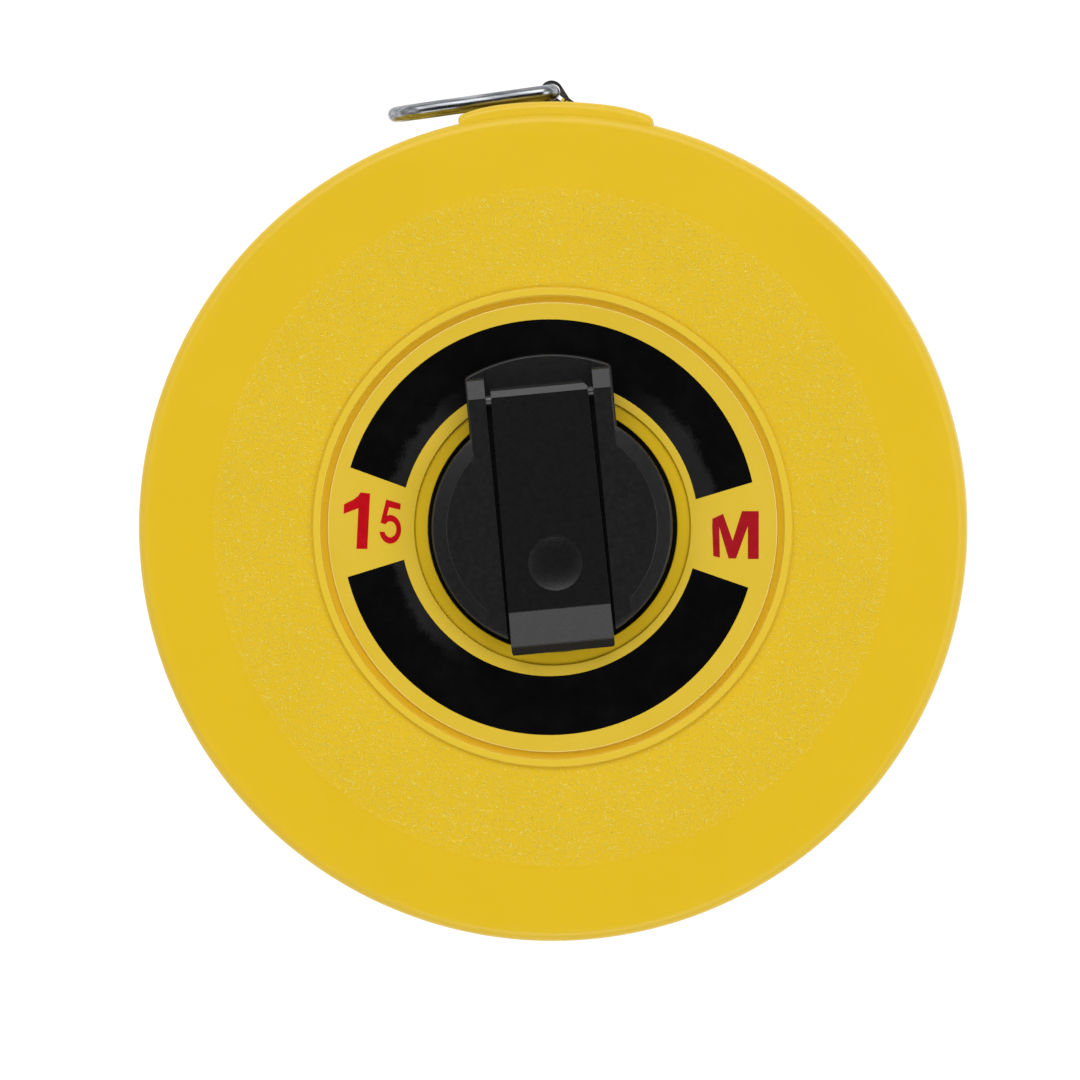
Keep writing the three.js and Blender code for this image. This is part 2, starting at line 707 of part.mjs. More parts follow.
function addCrank(group) {
  const headUnder = STUD_SEAT_Z + 0.1;
  const headTop = LEVER_TOP_Z - 0.05;
  const stud = turned(
    [
      [0, headTop - DISH_DEPTH],
      [STUD_HEAD_R * 0.5, headTop - DISH_DEPTH * 0.72],
      [STUD_HEAD_R * 0.95, headTop],
      [STUD_HEAD_R, headTop - 0.05],
      [STUD_HEAD_R, headUnder],
      [STUD_R, headUnder],
      [STUD_R, STUD_END_Z],
      [1.0, STUD_END_Z],
      [1.0, KNOB_SCREW_TIP_Z + 0.5],
      [0, KNOB_SCREW_TIP_Z + 0.5],
    ],
    SMALL,
  );
  const bore = STUD_R + 0.1;
  const screwRoom = 2.8;
  const screwRoomTop = KNOB_BOTTOM_Z + 1.65;
  const knob = turned(
    [
      [bore, KNOB_TOP_Z],
      [bore, screwRoomTop],
      [screwRoom, screwRoomTop],
      [screwRoom, KNOB_BOTTOM_Z],
      [KNOB_R - 0.6, KNOB_BOTTOM_Z],
      [KNOB_R, KNOB_BOTTOM_Z + 0.8],
      [KNOB_R - 0.2, (KNOB_BOTTOM_Z + KNOB_TOP_Z) / 2],
      [KNOB_R, KNOB_TOP_Z - 0.6],
      [KNOB_R - 0.4, KNOB_TOP_Z],
    ],
    SMALL,
  );
  const knobScrew = screw(
    "knob_screw",
    KNOB_SCREW_HEAD_R,
    KNOB_SCREW_HEAD_HEIGHT,
    KNOB_SCREW_R,
    KNOB_SCREW_TIP_Z - STUD_END_Z,
    0,
    KNOB_Y,
    STUD_END_Z - 0.1,
  );
  const hingePin = crossRod(HINGE_PIN_R, NECK_HALF_WIDTH - 0.3, HINGE_Y, HINGE_Z);
  group.add(
    part("crank_hub", crankHub(), blackPlastic),
    part("hinge_pin", hingePin, steel),
    part("crank_lever", crankLever(), blackPlastic),
    part("knob_stud", stud.translate([0, KNOB_Y, 0]), blackPlastic),
    part("crank_knob", knob.translate([0, KNOB_Y, 0]), blackPlastic),
    knobScrew,
  );
}

// ---- The tape's free end ---------------------------------------------------------------------

// The sheet-metal clip: a loop round the ring's bar whose two legs grip the tape.
function endClip() {
  const flare = Math.asin((CLIP_LOOP_R - CLIP_HALF_THICK) / CLIP_FLARE_LENGTH);
  const neck = BAR_S - CLIP_FLARE_LENGTH * Math.cos(flare) - CLIP_LOOP_R * Math.sin(flare);
  const span = 90 + THREE.MathUtils.radToDeg(flare);
  // The loop's outline in tape coordinates: s is x and n is y.
  const loop = arc(BAR_S, 0, CLIP_LOOP_R, -span, span, 14);
  const outline = [[neck, -CLIP_HALF_THICK], ...loop, [neck, CLIP_HALF_THICK]];
  const legS = [neck - 0.05, CLIP_LEG_START];
  const gripHalf = TAPE_THICK / 2 + 0.06;
  const head = prism(
    shapeOf(outline.map(([s, n]) => onTape(s, n))),
    MIDDLE_Z - CLIP_LOOP_WIDTH / 2,
    MIDDLE_Z + CLIP_LOOP_WIDTH / 2,
  );
  const legs = tapeBlock(legS[1], neck + 0.05, -CLIP_HALF_THICK, CLIP_HALF_THICK, CLIP_LEG_WIDTH);
  const grip = tapeBlock(legS[1] - 1, BAR_S, -gripHalf, gripHalf, CLIP_LEG_WIDTH + 1);
  const eye = rod(CLIP_LOOP_R - CLIP_SHEET, 0, CASE_DEPTH, RING_BAR_X, RING_BAR_Y);
  let clip = head.add(legs).subtract(grip).subtract(eye);
  for (const z of [-RIVET_Z, RIVET_Z]) clip = clip.subtract(rivetSolid(RIVET_R + 0.1, z));
  return clip;
}

// A plain rod through the clip and the tape, where a rivet goes.
function rivetSolid(r, z) {
  const [x, y] = onTape(RIVET_S, 0);
  const turn = THREE.MathUtils.radToDeg(LEAVE_ANGLE);
  return crossRod(r, 2, 0, 0, 12).rotate([0, 0, turn]).translate([x, y, MIDDLE_Z + z]);
}

function rivet(z) {
  const headIn = CLIP_HALF_THICK + 0.08;
  const half = [
    [0, RIVET_HEAD_OUT],
    [RIVET_HEAD_R * 0.6, RIVET_HEAD_OUT],
    [RIVET_HEAD_R, headIn + 0.12],
    [RIVET_HEAD_R, headIn],
    [RIVET_R, headIn],
  ];
  const profile = [...half, ...half.map(([r, t]) => [r, -t]).reverse()];
  const [x, y] = onTape(RIVET_S, 0);
  const turn = THREE.MathUtils.radToDeg(LEAVE_ANGLE);
  return turned(profile, 12)
    .rotate([0, 90, 0])
    .rotate([0, 0, turn])
    .translate([x, y, MIDDLE_Z + z]);
}

function tapeLead() {
  const half = TAPE_THICK / 2;
  let lead = tapeBlock(TAPE_TAIL_S, TAPE_HEAD_S, -half, half, TAPE_WIDTH);
  for (const z of [-RIVET_Z, RIVET_Z]) lead = lead.subtract(rivetSolid(RIVET_R + 0.1, z));
  return lead;
}

// The wire ring: wire bent round from one end of its bar to the other, and the bar itself.
function pullRing() {
  const inner = RING_BAR_CORNER;
  const outer = RING_END_CORNER;
  const w = RING_HALF_WIDTH;
  const far = RING_LENGTH - outer;
  const side = [
    [0, w - inner - 0.4],
    ...arc(inner, w - inner, inner, 180, 90, 3),
    [RING_LENGTH / 2, w],
    ...arc(far, w - outer, outer, 90, 0, 4),
  ];
  const outline = [...side, [RING_LENGTH, 0], ...side.map(([s, z]) => [s, -z]).reverse()];
  const cos = Math.cos(radians(RING_ANGLE));
  const sin = Math.sin(radians(RING_ANGLE));
  const points = outline.map(
    ([s, z]) =>
      new THREE.Vector3(RING_BAR_X + s * cos, RING_BAR_Y + s * sin, MIDDLE_Z + z),
  );
  const extrudePath = new THREE.CatmullRomCurve3(points, false, "centripetal");
  const section = shapeOf(arc(0, 0, RING_WIRE_R, 0, 324, 9));
  const wire = new THREE.ExtrudeGeometry(section, { steps: 32, extrudePath });
  const reach = w - inner - 0.2;
  const bar = rod(
    RING_WIRE_R,
    MIDDLE_Z - reach,
    MIDDLE_Z + reach,
    RING_BAR_X,
    RING_BAR_Y,
    16,
  );
  return solidOf(wire).add(bar);
}

function addTapeEnd(group) {
  group.add(
    part("tape_lead", tapeLead(), tapeFilm),
    part("end_clip", endClip(), steel),
    part("clip_rivet_1", rivet(-RIVET_Z), steel),
    part("clip_rivet_2", rivet(RIVET_Z), steel),
    part("pull_ring", pullRing(), chrome),
  );
}

// ---- The whole reel ----------------------------------------------------------------------------

const reel = new THREE.Group();
addCase(reel);
addTapeEnd(reel);
const turning = new THREE.Group();
turning.rotation.z = radians(CRANK_TURN);
addSpool(turning);
addCrank(turning);
reel.add(turning);

export default reel;
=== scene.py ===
"""The looks of a closed-case long tape reel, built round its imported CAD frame.

Lengths in the code are millimetres and angles degrees; meshes are made in metres. The frame
is the CAD's: +Z out of the crank side, +Y to the mouth, the back on z = 0. Crank pieces are
made with the lever's hinge towards +Y and then turned to where the crank stands.
"""

import json
import math

import bmesh
import bpy
from mathutils import Matrix, Vector


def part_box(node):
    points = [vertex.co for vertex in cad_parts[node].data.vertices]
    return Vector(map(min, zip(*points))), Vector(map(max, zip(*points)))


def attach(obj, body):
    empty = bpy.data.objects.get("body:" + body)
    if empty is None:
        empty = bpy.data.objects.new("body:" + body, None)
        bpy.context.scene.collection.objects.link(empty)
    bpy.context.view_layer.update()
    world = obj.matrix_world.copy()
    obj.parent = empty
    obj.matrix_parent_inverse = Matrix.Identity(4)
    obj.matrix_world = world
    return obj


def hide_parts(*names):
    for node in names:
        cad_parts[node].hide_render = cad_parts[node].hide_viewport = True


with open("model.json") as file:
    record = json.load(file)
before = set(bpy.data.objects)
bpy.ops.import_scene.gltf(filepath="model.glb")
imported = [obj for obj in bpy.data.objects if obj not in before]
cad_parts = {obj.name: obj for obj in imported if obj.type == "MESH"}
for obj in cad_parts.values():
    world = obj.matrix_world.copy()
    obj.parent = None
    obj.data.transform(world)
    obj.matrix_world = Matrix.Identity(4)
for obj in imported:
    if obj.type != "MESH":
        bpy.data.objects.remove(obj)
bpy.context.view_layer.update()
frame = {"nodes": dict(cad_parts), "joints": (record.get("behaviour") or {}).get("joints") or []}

MM = 0.001

# ---- The case -----------------------------------------------------------------------

FRONT_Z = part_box("front_shell")[1].z / MM
MIDDLE_Z = FRONT_Z / 2
CASE_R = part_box("front_shell")[1].x / MM
WALL = 2.2
INSIDE_ROUND = 0.6
FACE_DEPTH = 0.6
BAND_DEPTH = 0.68
SEAT_DEPTH = 0.85
GROOVE_DEPTH = 1.05
RECESS_DEPTH = 1.0
PARTING_GAP = 0.1
PARTING_ROUND = 0.12
TONGUE_HEIGHT = 1.3
HUB_HOLE_R = 16.8
RECESS_R = 18.55
SEAT_R = 30.35
BEAD_INNER_R = 31.27
BEAD_OUTER_R = 32.27
GRAIN_R = 45.9
GRAIN_STEP = 0.12
FACE_TAPER = 0.1
SEAT_ROUND = 0.08
GROOVE_ROUND = 0.15
BEAD_ROUND = 0.12
EDGE_ROUND = 1.4
SIDE_DRAFT = 0.2
INSIDE_R = CASE_R - WALL
TONGUE_R = 54.7
TONGUE_PLAY = 0.2
TONGUE_CLEARANCE = 0.3
REAR_DISC_R = 9.5
SPINDLE_R = 3.5
SPINDLE_TOP_Z = 10.4
SPINDLE_FOOT_R = 7
SPINDLE_FOOT_Z = 3.2

PAD_R = 57.4
PAD_ROOT_R = INSIDE_R + 0.8
PAD_RIGHT = 76.1
PAD_LEFT = 103.1
PAD_HALF_WIDTH = 10.2
PAD_ROUND = 0.9
PAD_END_ROUND = 0.8
PAD_TAPER = 6
PAD_TAPER_FALL = 0.5
CHANNEL_FLOOR_R = 56.4
CHANNEL_HALF_WIDTH = 7.75
CHANNEL_END_X = 4
SLOT_HEIGHT = 2.8
SLOT_WIDTH = 13.9

SCREW_CIRCLE_R = 51.1
SCREW_ANGLES = (30, 150, 270)
SCREW_SEAT_Z = 3.0
SCREW_HEAD_R = 1.9
SCREW_HEAD_PLAY = 0.2
SCREW_HOLE_R = 1.25
SCREW_POST_R = 2.2
POST_ROOT_DEPTH = 1.6

# ---- The labels -----------------------------------------------------------------------

LABEL_R = 30.32
LABEL_HOLE_R = 18.62
REAR_LABEL_HOLE_R = 9.75
LABEL_THICK = 0.25
LABEL_EDGE_ROUND = 0.1
INK_THICK = 0.02
PRINT_SHIFT = -0.42
BAND_INNER_R = 20.08
BAND_OUTER_R = 28.02
HAZE_R = 22.3
# Each band: the angles its outer arc spans, and those its inner arc spans.
UPPER_BAND = ((12.5, 163.3), (10.8, 164.6))
LOWER_BAND = ((193.9, 343.1), (192.6, 344.0))
# Each mark's box: left, low, width, height.
ONE_BOX = (-28.4, -2.93, 3.44, 7.62)
FIVE_BOX = (-23.34, -2.23, 2.94, 5.96)
EM_BOX = (21.52, -4.28, 6.27, 6.45)
REAR_BAND_INNER_R = 13.5
REAR_BAND_OUTER_R = 27

# ---- The crank ------------------------------------------------------------------------

CRANK_TURN = 5.4
HUB_R = 16.2
HUB_SHANK_R = 12.3
HUB_BOTTOM_Z = 12.5
HUB_SCREW_X = 8.2
HUB_SCREW_Y = 3
HUB_SCREW_SEAT_Z = 10.5
HUB_STEP_Z = 20.2
HUB_RIM_Z = 27.0
HUB_TOP_Z = 27.5
PLATEAU_R = 14.2
BAR_END_R = 15.5
NECK_HALF_WIDTH = 9.93
NECK_R = 23.35
NECK_FOOT_Y = 6
NECK_BOTTOM_Z = 23.35
NECK_STEP = 0.28
EAR_FOOT_Z = 25.1
SLOT_FLOOR_Z = 24.4
LEVER_SLOT_HALF = 7.3
EAR_SLOPE_Y = 18.1
EAR_END_Y = 20.75
HINGE_Y = 17.75
HINGE_Z = 26.25
BARREL_R = 1.4
HEEL_R = BARREL_R + 0.15
HEEL_CHAMFER = 0.75
HINGE_PIN_R = 0.7
LEVER_UNDER_Z = 25.05
LEVER_TOP_Z = HINGE_Z + BARREL_R
LEVER_TIP_Y = -16.8
LIP_START_Y = -10.9
LIP_TOP_Y = -15.6
LIP_HEIGHT = 1.05
LEVER_HALF_HINGE = 6.52
LEVER_HALF_TIP = 6.95
LEVER_RIM = 1.3
LEVER_SKIN = 1.35
LEVER_RIBS_Y = (2.5, 8.5)
KNOB_Y = -4.87
KNOB_R = 4.0
KNOB_TOP_Z = 24.75
KNOB_BOTTOM_Z = 17.0
POCKET_R = 4.3
POCKET_SWING = 1.75
POCKET_FLOOR_Z = 16.6
DISH_R = 3.8
DISH_DEPTH = 0.36
STUD_R = 1.8
STUD_END_Z = 18.75
STUD_HEAD_THICK = 0.95
STUD_BORE_R = 0.95
STUD_BORE_END_Z = 22.2
KNOB_ROOM_R = 2.75
KNOB_ROOM_HEIGHT = 1.65
KNOB_GROOVES = 4

# ---- The tape's end ---------------------------------------------------------------------

RING_BAR = Vector((-0.23, 58.78))
RING_ANGLE = 188.1
RING_LENGTH = 21.4
RING_HALF_WIDTH = 6.5
RING_WIRE_R = 1.0
RING_BAR_CORNER = 1.7
RING_END_CORNER = 4.6
TAPE_WIDTH = 12.5
TAPE_THICK = 0.42
TAPE_TURN = Vector(next(j for j in frame["joints"] if j["name"] == "tape_pull")["axis"])
CLIP_LOOP_R = 1.55
CLIP_SHEET = 0.4
CLIP_FLARE_LENGTH = 2.0
CLIP_LOOP_WIDTH = 9
CLIP_LEG_WIDTH = 12.9
CLIP_LEG_START = 25
CLIP_HALF_THICK = 0.67
RIVET_S = 28
RIVET_Z = 3.4
RIVET_HEAD_R = 1.3

# ---- The studio ------------------------------------------------------------------------

FLOOR_HALF = 1500
FLOOR_THICK = 2
CAMERA_DISTANCE = 2500
VIEW_WIDTH = 145.83
CAMERA_AIM = (-1.76, -1.76, 18)
CAMERA_TILT = (0.9, 0.4)
# The room goes from dark to pale between the elevations with these sines.
PALE_TOP = 0.9
PALE_FOOT = 0.7
ROOM_OVERHEAD = 0.03
ROOM_HORIZON = 0.6
# Each: name, (width, height) in metres, watts, (azimuth, elevation, distance in metres).
SOFTBOXES = (
    ("key", (2.2, 1.4), 22, (98, 51, 2.1)),
    ("fill_right", (1.2, 1.2), 8, (-5, 46, 2.1)),
    ("fill_low", (1.4, 1.0), 10, (-85, 46, 2.1)),
    ("fill_left", (1.1, 1.1), 3, (180, 46, 2.1)),
)


# ---- Outlines ---------------------------------------------------------------------------


def polar(radius, angle):
    """The (x, y) of a point at this radius and angle."""
    return (
        radius * math.cos(math.radians(angle)),
        radius * math.sin(math.radians(angle)),
    )


def arc(centre, radius, start, end, steps):
    """Points along a circular arc."""
    points = []
    for step in range(steps + 1):
        x, y = polar(radius, start + (end - start) * step / steps)
        points.append((centre[0] + x, centre[1] + y))
    return points


def rounded(corners, steps=6):
    """A closed outline from corners (x, y, radius), each rounded off by its radius."""
    outline = []
    for i, (x, y, radius) in enumerate(corners):
        here = Vector((x, y))
        if radius <= 0:
            outline.append((x, y))
            continue
        back = (Vector(corners[i - 1][:2]) - here).normalized()
        ahead = (Vector(corners[(i + 1) % len(corners)][:2]) - here).normalized()
        half = back.angle(ahead) / 2
        centre = here + (back + ahead).normalized() * radius / math.sin(half)
        first = here + back * radius / math.tan(half) - centre
        last = here + ahead * radius / math.tan(half) - centre
        sweep = first.angle_signed(last)
        for step in range(steps + 1):
            spoke = first.copy()
            spoke.rotate(Matrix.Rotation(-sweep * step / steps, 2))
            outline.append(tuple(centre + spoke))
    return outline


# ---- Solids -----------------------------------------------------------------------------


def solid(name, verts, faces):
    """A closed mesh object from points in millimetres, with its faces turned outwards."""
    mesh = bpy.data.meshes.new(name)
    mesh.from_pydata([[c * MM for c in v] for v in verts], [], faces)
    obj = bpy.data.objects.new(name, mesh)
    bpy.context.scene.collection.objects.link(obj)
    edit(obj, lambda bm: bmesh.ops.recalc_face_normals(bm, faces=bm.faces))
    return obj


def edit(obj, work):
    """Runs work on the object's mesh as a bmesh."""
    bm = bmesh.new()
    bm.from_mesh(obj.data)
    work(bm)
    bm.to_mesh(obj.data)
    bm.free()


def lathe(name, profile, turns=160):
    """A solid of revolution about Z, from a closed loop of (radius, z)."""
    verts = []
    rings = []
    for r, z in profile:
        if r < 1e-6:
            rings.append([len(verts)] * turns)
            verts.append((0, 0, z))
            continue
        rings.append([len(verts) + i for i in range(turns)])
        verts += [(*polar(r, 360 * i / turns), z) for i in range(turns)]
    faces = []
    for ring, following in zip(rings, rings[1:] + rings[:1]):
        for i in range(turns):
            j = (i + 1) % turns
            quad = [ring[i], ring[j], following[j], following[i]]
            corners = list(dict.fromkeys(quad))
            if len(corners) > 2:
                faces.append(corners)
    return solid(name, verts, faces)


def prism(name, outline, low, high, across="Z"):
    """A straight-sided solid: an outline extruded across its plane from low to high.

    across "Z" takes an outline of (x, y); across "X" takes one of (y, z).
    """
    put = {"Z": lambda a, b, c: (a, b, c), "X": lambda a, b, c: (c, a, b)}[across]
    count = len(outline)
    verts = [put(a, b, low) for a, b in outline] + [put(a, b, high) for a, b in outline]
    faces = [list(range(count))[::-1], list(range(count, 2 * count))]
    for i in range(count):
        j = (i + 1) % count
        faces.append([i, j, count + j, count + i])
    return solid(name, verts, faces)


def block(name, low, high):
    """A box between two corners."""
    outline = [(low[0], low[1]), (high[0], low[1]), (high[0], high[1]), (low[0], high[1])]
    return prism(name, outline, low[2], high[2])


def rod(name, radius, low, high, centre=(0, 0), turns=64, across="Z"):
    """A round rod along Z, or along X with centre (y, z)."""
    return prism(name, arc(centre, radius, 0, 360 - 360 / turns, turns - 1), low, high, across)


def apply(obj, kind, **settings):
    """Adds one modifier and makes its result the object's mesh."""
    modifier = obj.modifiers.new(kind.lower(), kind)
    for name, value in settings.items():
        setattr(modifier, name, value)
    graph = bpy.context.evaluated_depsgraph_get()
    shaped = bpy.data.meshes.new_from_object(obj.evaluated_get(graph))
    obj.modifiers.clear()
    obj.data = shaped
    return obj


def combine(obj, tools, operation):
    """Joins, cuts or intersects the object with each tool, which is used up."""
    for tool in tools:
        apply(obj, "BOOLEAN", operation=operation, object=tool, solver="EXACT")
        bpy.data.objects.remove(tool)
    edit(obj, lambda bm: bmesh.ops.remove_doubles(bm, verts=bm.verts, dist=2e-6))
    return obj


def join(obj, *tools):
    return combine(obj, tools, "UNION")


def cut(obj, *tools):
    return combine(obj, tools, "DIFFERENCE")


def soften(obj, width, segments=3, angle=35):
    """Rounds every edge sharper than the angle."""
    return apply(
        obj,
        "BEVEL",
        width=width * MM,
        segments=segments,
        limit_method="ANGLE",
        angle_limit=math.radians(angle),
        miter_outer="MITER_ARC",
        use_clamp_overlap=True,
        loop_slide=True,
    )


def turn(obj, angle=CRANK_TURN):
    obj.data.transform(Matrix.Rotation(math.radians(angle), 4, "Z"))
    return obj


def shift(obj, x=0, y=0, z=0):
    obj.data.transform(Matrix.Translation((x * MM, y * MM, z * MM)))
    return obj


def sweep(name, path, radius, sides=24):
    """A round wire along a closed path of points in one plane."""
    points = [Vector(p) for p in path]
    normal = (points[1] - points[0]).cross(points[2] - points[1]).normalized()
    for i in range(2, len(points)):
        if normal.length < 0.5:
            normal = (points[i - 1] - points[0]).cross(points[i] - points[i - 1]).normalized()
    verts = []
    for i, point in enumerate(points):
        ahead = (points[(i + 1) % len(points)] - points[i - 1]).normalized()
        out = ahead.cross(normal)
        for side in range(sides):
            c, s = polar(radius, 360 * side / sides)
            verts.append(tuple(point + out * c + normal * s))
    faces = []
    for i in range(len(points)):
        here = i * sides
        following = (i + 1) % len(points) * sides
        for side in range(sides):
            beside = (side + 1) % sides
            faces.append([here + side, here + beside, following + beside, following + side])
    return solid(name, verts, faces)


# ---- Materials --------------------------------------------------------------------------


class Look:
    """One procedural material: a Principled shader and the nodes that feed it."""

    def __init__(self, name, roughness, metallic=0.0, **sockets):
        self.material = bpy.data.materials.new(name)
        self.material.use_nodes = True
        self.tree = self.material.node_tree
        self.shader = self.tree.nodes["Principled BSDF"]
        self.shader.inputs["Roughness"].default_value = roughness
        self.shader.inputs["Metallic"].default_value = metallic
        for socket, value in sockets.items():
            self.shader.inputs[socket.replace("_", " ")].default_value = value
        self.place = self.node("ShaderNodeTexCoord").outputs["Object"]

    def node(self, kind, inputs=None, **settings):
        node = self.tree.nodes.new(kind)
        for name, value in settings.items():
            setattr(node, name, value)
        for socket, value in (inputs or {}).items():
            self.feed(node.inputs[socket], value)
        return node

    def feed(self, socket, value):
        if isinstance(value, bpy.types.NodeSocket):
            self.tree.links.new(value, socket)
        else:
            socket.default_value = value

    def set(self, socket, value):
        self.feed(self.shader.inputs[socket], value)

    def math(self, operation, a, b=0.0, clamp=False):
        node = self.node("ShaderNodeMath", {0: a, 1: b}, operation=operation)
        node.use_clamp = clamp
        return node.outputs[0]

    def noise(self, size, detail=3.0, roughness=0.5, stretch=(1, 1, 1)):
        """Noise whose features are about this size in millimetres."""
        place = self.node(
            "ShaderNodeVectorMath", {0: self.place, 1: stretch}, operation="MULTIPLY"
        )
        inputs = {
            "Vector": place.outputs[0],
            "Scale": 1 / (size * MM),
            "Detail": detail,
            "Roughness": roughness,
        }
        return self.node("ShaderNodeTexNoise", inputs).outputs["Fac"]

    def cells(self, size, feature="DISTANCE_TO_EDGE", place=None):
        """Voronoi cells about this size in millimetres."""
        inputs = {"Vector": place or self.place, "Scale": 1 / (size * MM)}
        node = self.node("ShaderNodeTexVoronoi", inputs, feature=feature)
        return node.outputs["Distance"]

    def range(self, value, low, high, to_low=0.0, to_high=1.0):
        inputs = {
            "Value": value,
            "From Min": low,
            "From Max": high,
            "To Min": to_low,
            "To Max": to_high,
        }
        return self.node("ShaderNodeMapRange", inputs).outputs[0]

    def mix(self, factor, a, b):
        node = self.node("ShaderNodeMix", data_type="RGBA")
        self.feed(node.inputs["Factor"], factor)
        self.feed(node.inputs[6], a)
        self.feed(node.inputs[7], b)
        return node.outputs[2]

    def radius(self):
        """Distance from the Z axis, in metres."""
        split = self.node("ShaderNodeSeparateXYZ", {0: self.place})
        squares = [self.math("MULTIPLY", split.outputs[i], split.outputs[i]) for i in (0, 1)]
        return self.math("SQRT", self.math("ADD", *squares))

    def bump(self, height, depth, strength=1.0, under=None):
        """Bump of this depth in millimetres where height runs from 0 to 1."""
        inputs = {"Height": height, "Strength": strength, "Distance": depth * MM}
        if under is not None:
            inputs["Normal"] = under
        return self.node("ShaderNodeBump", inputs).outputs[0]

    def tint(self, low, high, size, detail=3.0):
        """A base colour that drifts between two colours in patches of this size."""
        drift = self.range(self.noise(size, detail), 0.3, 0.7)
        self.set("Base Color", self.mix(drift, (*low, 1), (*high, 1)))

    def worn(self, low, high, size, detail=4.0):
        """Roughness that drifts between two values in patches of this size."""
        self.set("Roughness", self.range(self.noise(size, detail), 0.3, 0.7, low, high))


def shell_look():
    """Satin yellow plastic, with leather grain on the inner ring of each face."""
    look = Look("shell_yellow", 0.33)
    radius = look.radius()
    inner = look.range(radius, (BEAD_OUTER_R + 0.15) * MM, (BEAD_OUTER_R + 0.35) * MM)
    outer = look.range(radius, (GRAIN_R - 1.2) * MM, (GRAIN_R + 0.3) * MM, 1, 0)
    grained = look.math("MULTIPLY", inner, outer)
    warp = look.node(
        "ShaderNodeTexNoise", {"Vector": look.place, "Scale": 900, "Detail": 2.0}
    )
    pulled = look.node(
        "ShaderNodeVectorMath",
        {0: warp.outputs["Color"], 1: (0.0009, 0.0009, 0.0009)},
        operation="MULTIPLY",
    )
    warped = look.node("ShaderNodeVectorMath", {0: look.place, 1: pulled.outputs[0]})
    # Scattered short raised flecks over a soft pebble; the flecks also get a painted highlight, a
    # paler yellow mixed into the colour.
    ridges = look.range(look.cells(0.75, place=warped.outputs[0]), 0.0, 0.12, 1, 0)
    broken = look.range(look.noise(0.38, 2), 0.5, 0.55)
    flecks = look.math("MULTIPLY", look.math("MULTIPLY", ridges, broken), grained)
    drift = look.range(look.noise(14), 0.3, 0.7)
    base = look.mix(drift, (0.764, 0.504, 0.008, 1), (0.784, 0.518, 0.01, 1))
    # The groove carries painted shade, a deeper orange-yellow than the face, and the bead beside
    # it a painted highlight, a paler yellow.
    beyond_label = look.range(radius, (SEAT_R - 0.1) * MM, SEAT_R * MM)
    before_bead = look.range(radius, (BEAD_INNER_R - 0.05) * MM, BEAD_INNER_R * MM, 1, 0)
    groove_painted_shade = look.math("MULTIPLY", beyond_label, before_bead)
    # Painted shade: the groove's colour is a deeper orange-yellow.
    base = look.mix(groove_painted_shade, base, (0.79, 0.485, 0.012, 1))
    before_grain = look.range(radius, BEAD_OUTER_R * MM, (BEAD_OUTER_R + 0.05) * MM, 1, 0)
    bead_painted_highlight = look.math("MULTIPLY", look.math("SUBTRACT", 1, before_bead), before_grain)
    # Painted highlight: the bead's colour is a paler yellow.
    base = look.mix(bead_painted_highlight, base, (0.79, 0.55, 0.034, 1))
    # Painted highlight: the flecks' colour is pushed towards a paler yellow.
    pale = look.math("MULTIPLY", flecks, 0.42)
    look.set("Base Color", look.mix(pale, base, (0.88, 0.69, 0.08, 1)))
    pebbles = look.math("MULTIPLY", look.math("MULTIPLY", look.noise(0.4, 3), 0.6), grained)
    waves = look.bump(look.noise(9, 2), 0.05, 0.1)
    fine = look.bump(look.noise(0.2, 3), 0.005, 0.5, waves)
    look.set("Normal", look.bump(look.math("ADD", pebbles, flecks), 0.06, 0.9, fine))
    smooth_rough = look.range(look.noise(1.6, 5), 0.3, 0.7, 0.3, 0.36)
    rough = look.math("ADD", smooth_rough, look.math("MULTIPLY", grained, 0.04))
    # The rim is a little duller than the face.
    duller = look.range(radius, (CASE_R - 3.2) * MM, (CASE_R - 1) * MM, 0, 0.08)
    look.set("Roughness", look.math("ADD", rough, duller))
    return look.material


def dull_patches(look, reach):
    """How dull the print is: 1 in a ragged ring near the hub, open at its lower right."""
    drift = look.math("MULTIPLY", look.noise(2.4, 2), 1.9 * MM)
    ragged = look.math("MULTIPLY", look.noise(0.3, 4), 1.6 * MM)
    near = look.math("SUBTRACT", look.radius(), look.math("ADD", drift, ragged))
    close = look.range(near, (reach - 2.3) * MM, (reach - 1.2) * MM, 1, 0)
    split = look.node("ShaderNodeSeparateXYZ", {0: look.place})
    aside = look.math("DIVIDE", look.math("ABSOLUTE", split.outputs[0]), look.radius())
    left = look.range(split.outputs[0], -1 * MM, 1 * MM, 1, 0)
    high = look.range(split.outputs[1], -5 * MM, -4 * MM)
    side = look.math("MULTIPLY", look.math("MAXIMUM", left, high), look.range(aside, 0.5, 0.8))
    return look.math("MULTIPLY", close, side)


def film_look():
    """Glossy, faintly rippled yellow sticker film, with a painted highlight in pale yellow along
    its cut edge.
    """
    look = Look("label_film", 0.24, Coat_Weight=0.3, Coat_Roughness=0.12)
    drift = look.range(look.noise(8), 0.3, 0.7)
    base = look.mix(drift, (0.742, 0.512, 0.036, 1), (0.768, 0.536, 0.046, 1))
    # Painted highlight: a pale yellow band along the film's cut edge.
    edge_highlight = look.range(look.radius(), (LABEL_R - 0.16) * MM, (LABEL_R - 0.08) * MM, 0, 0.6)
    look.set("Base Color", look.mix(edge_highlight, base, (0.9, 0.78, 0.3, 1)))
    look.worn(0.2, 0.28, 2.5)
    ripple = look.bump(look.noise(3.2, 3), 0.03, 0.4)
    look.set("Normal", look.bump(look.noise(0.25, 2), 0.004, 0.5, ripple))
    return look.material


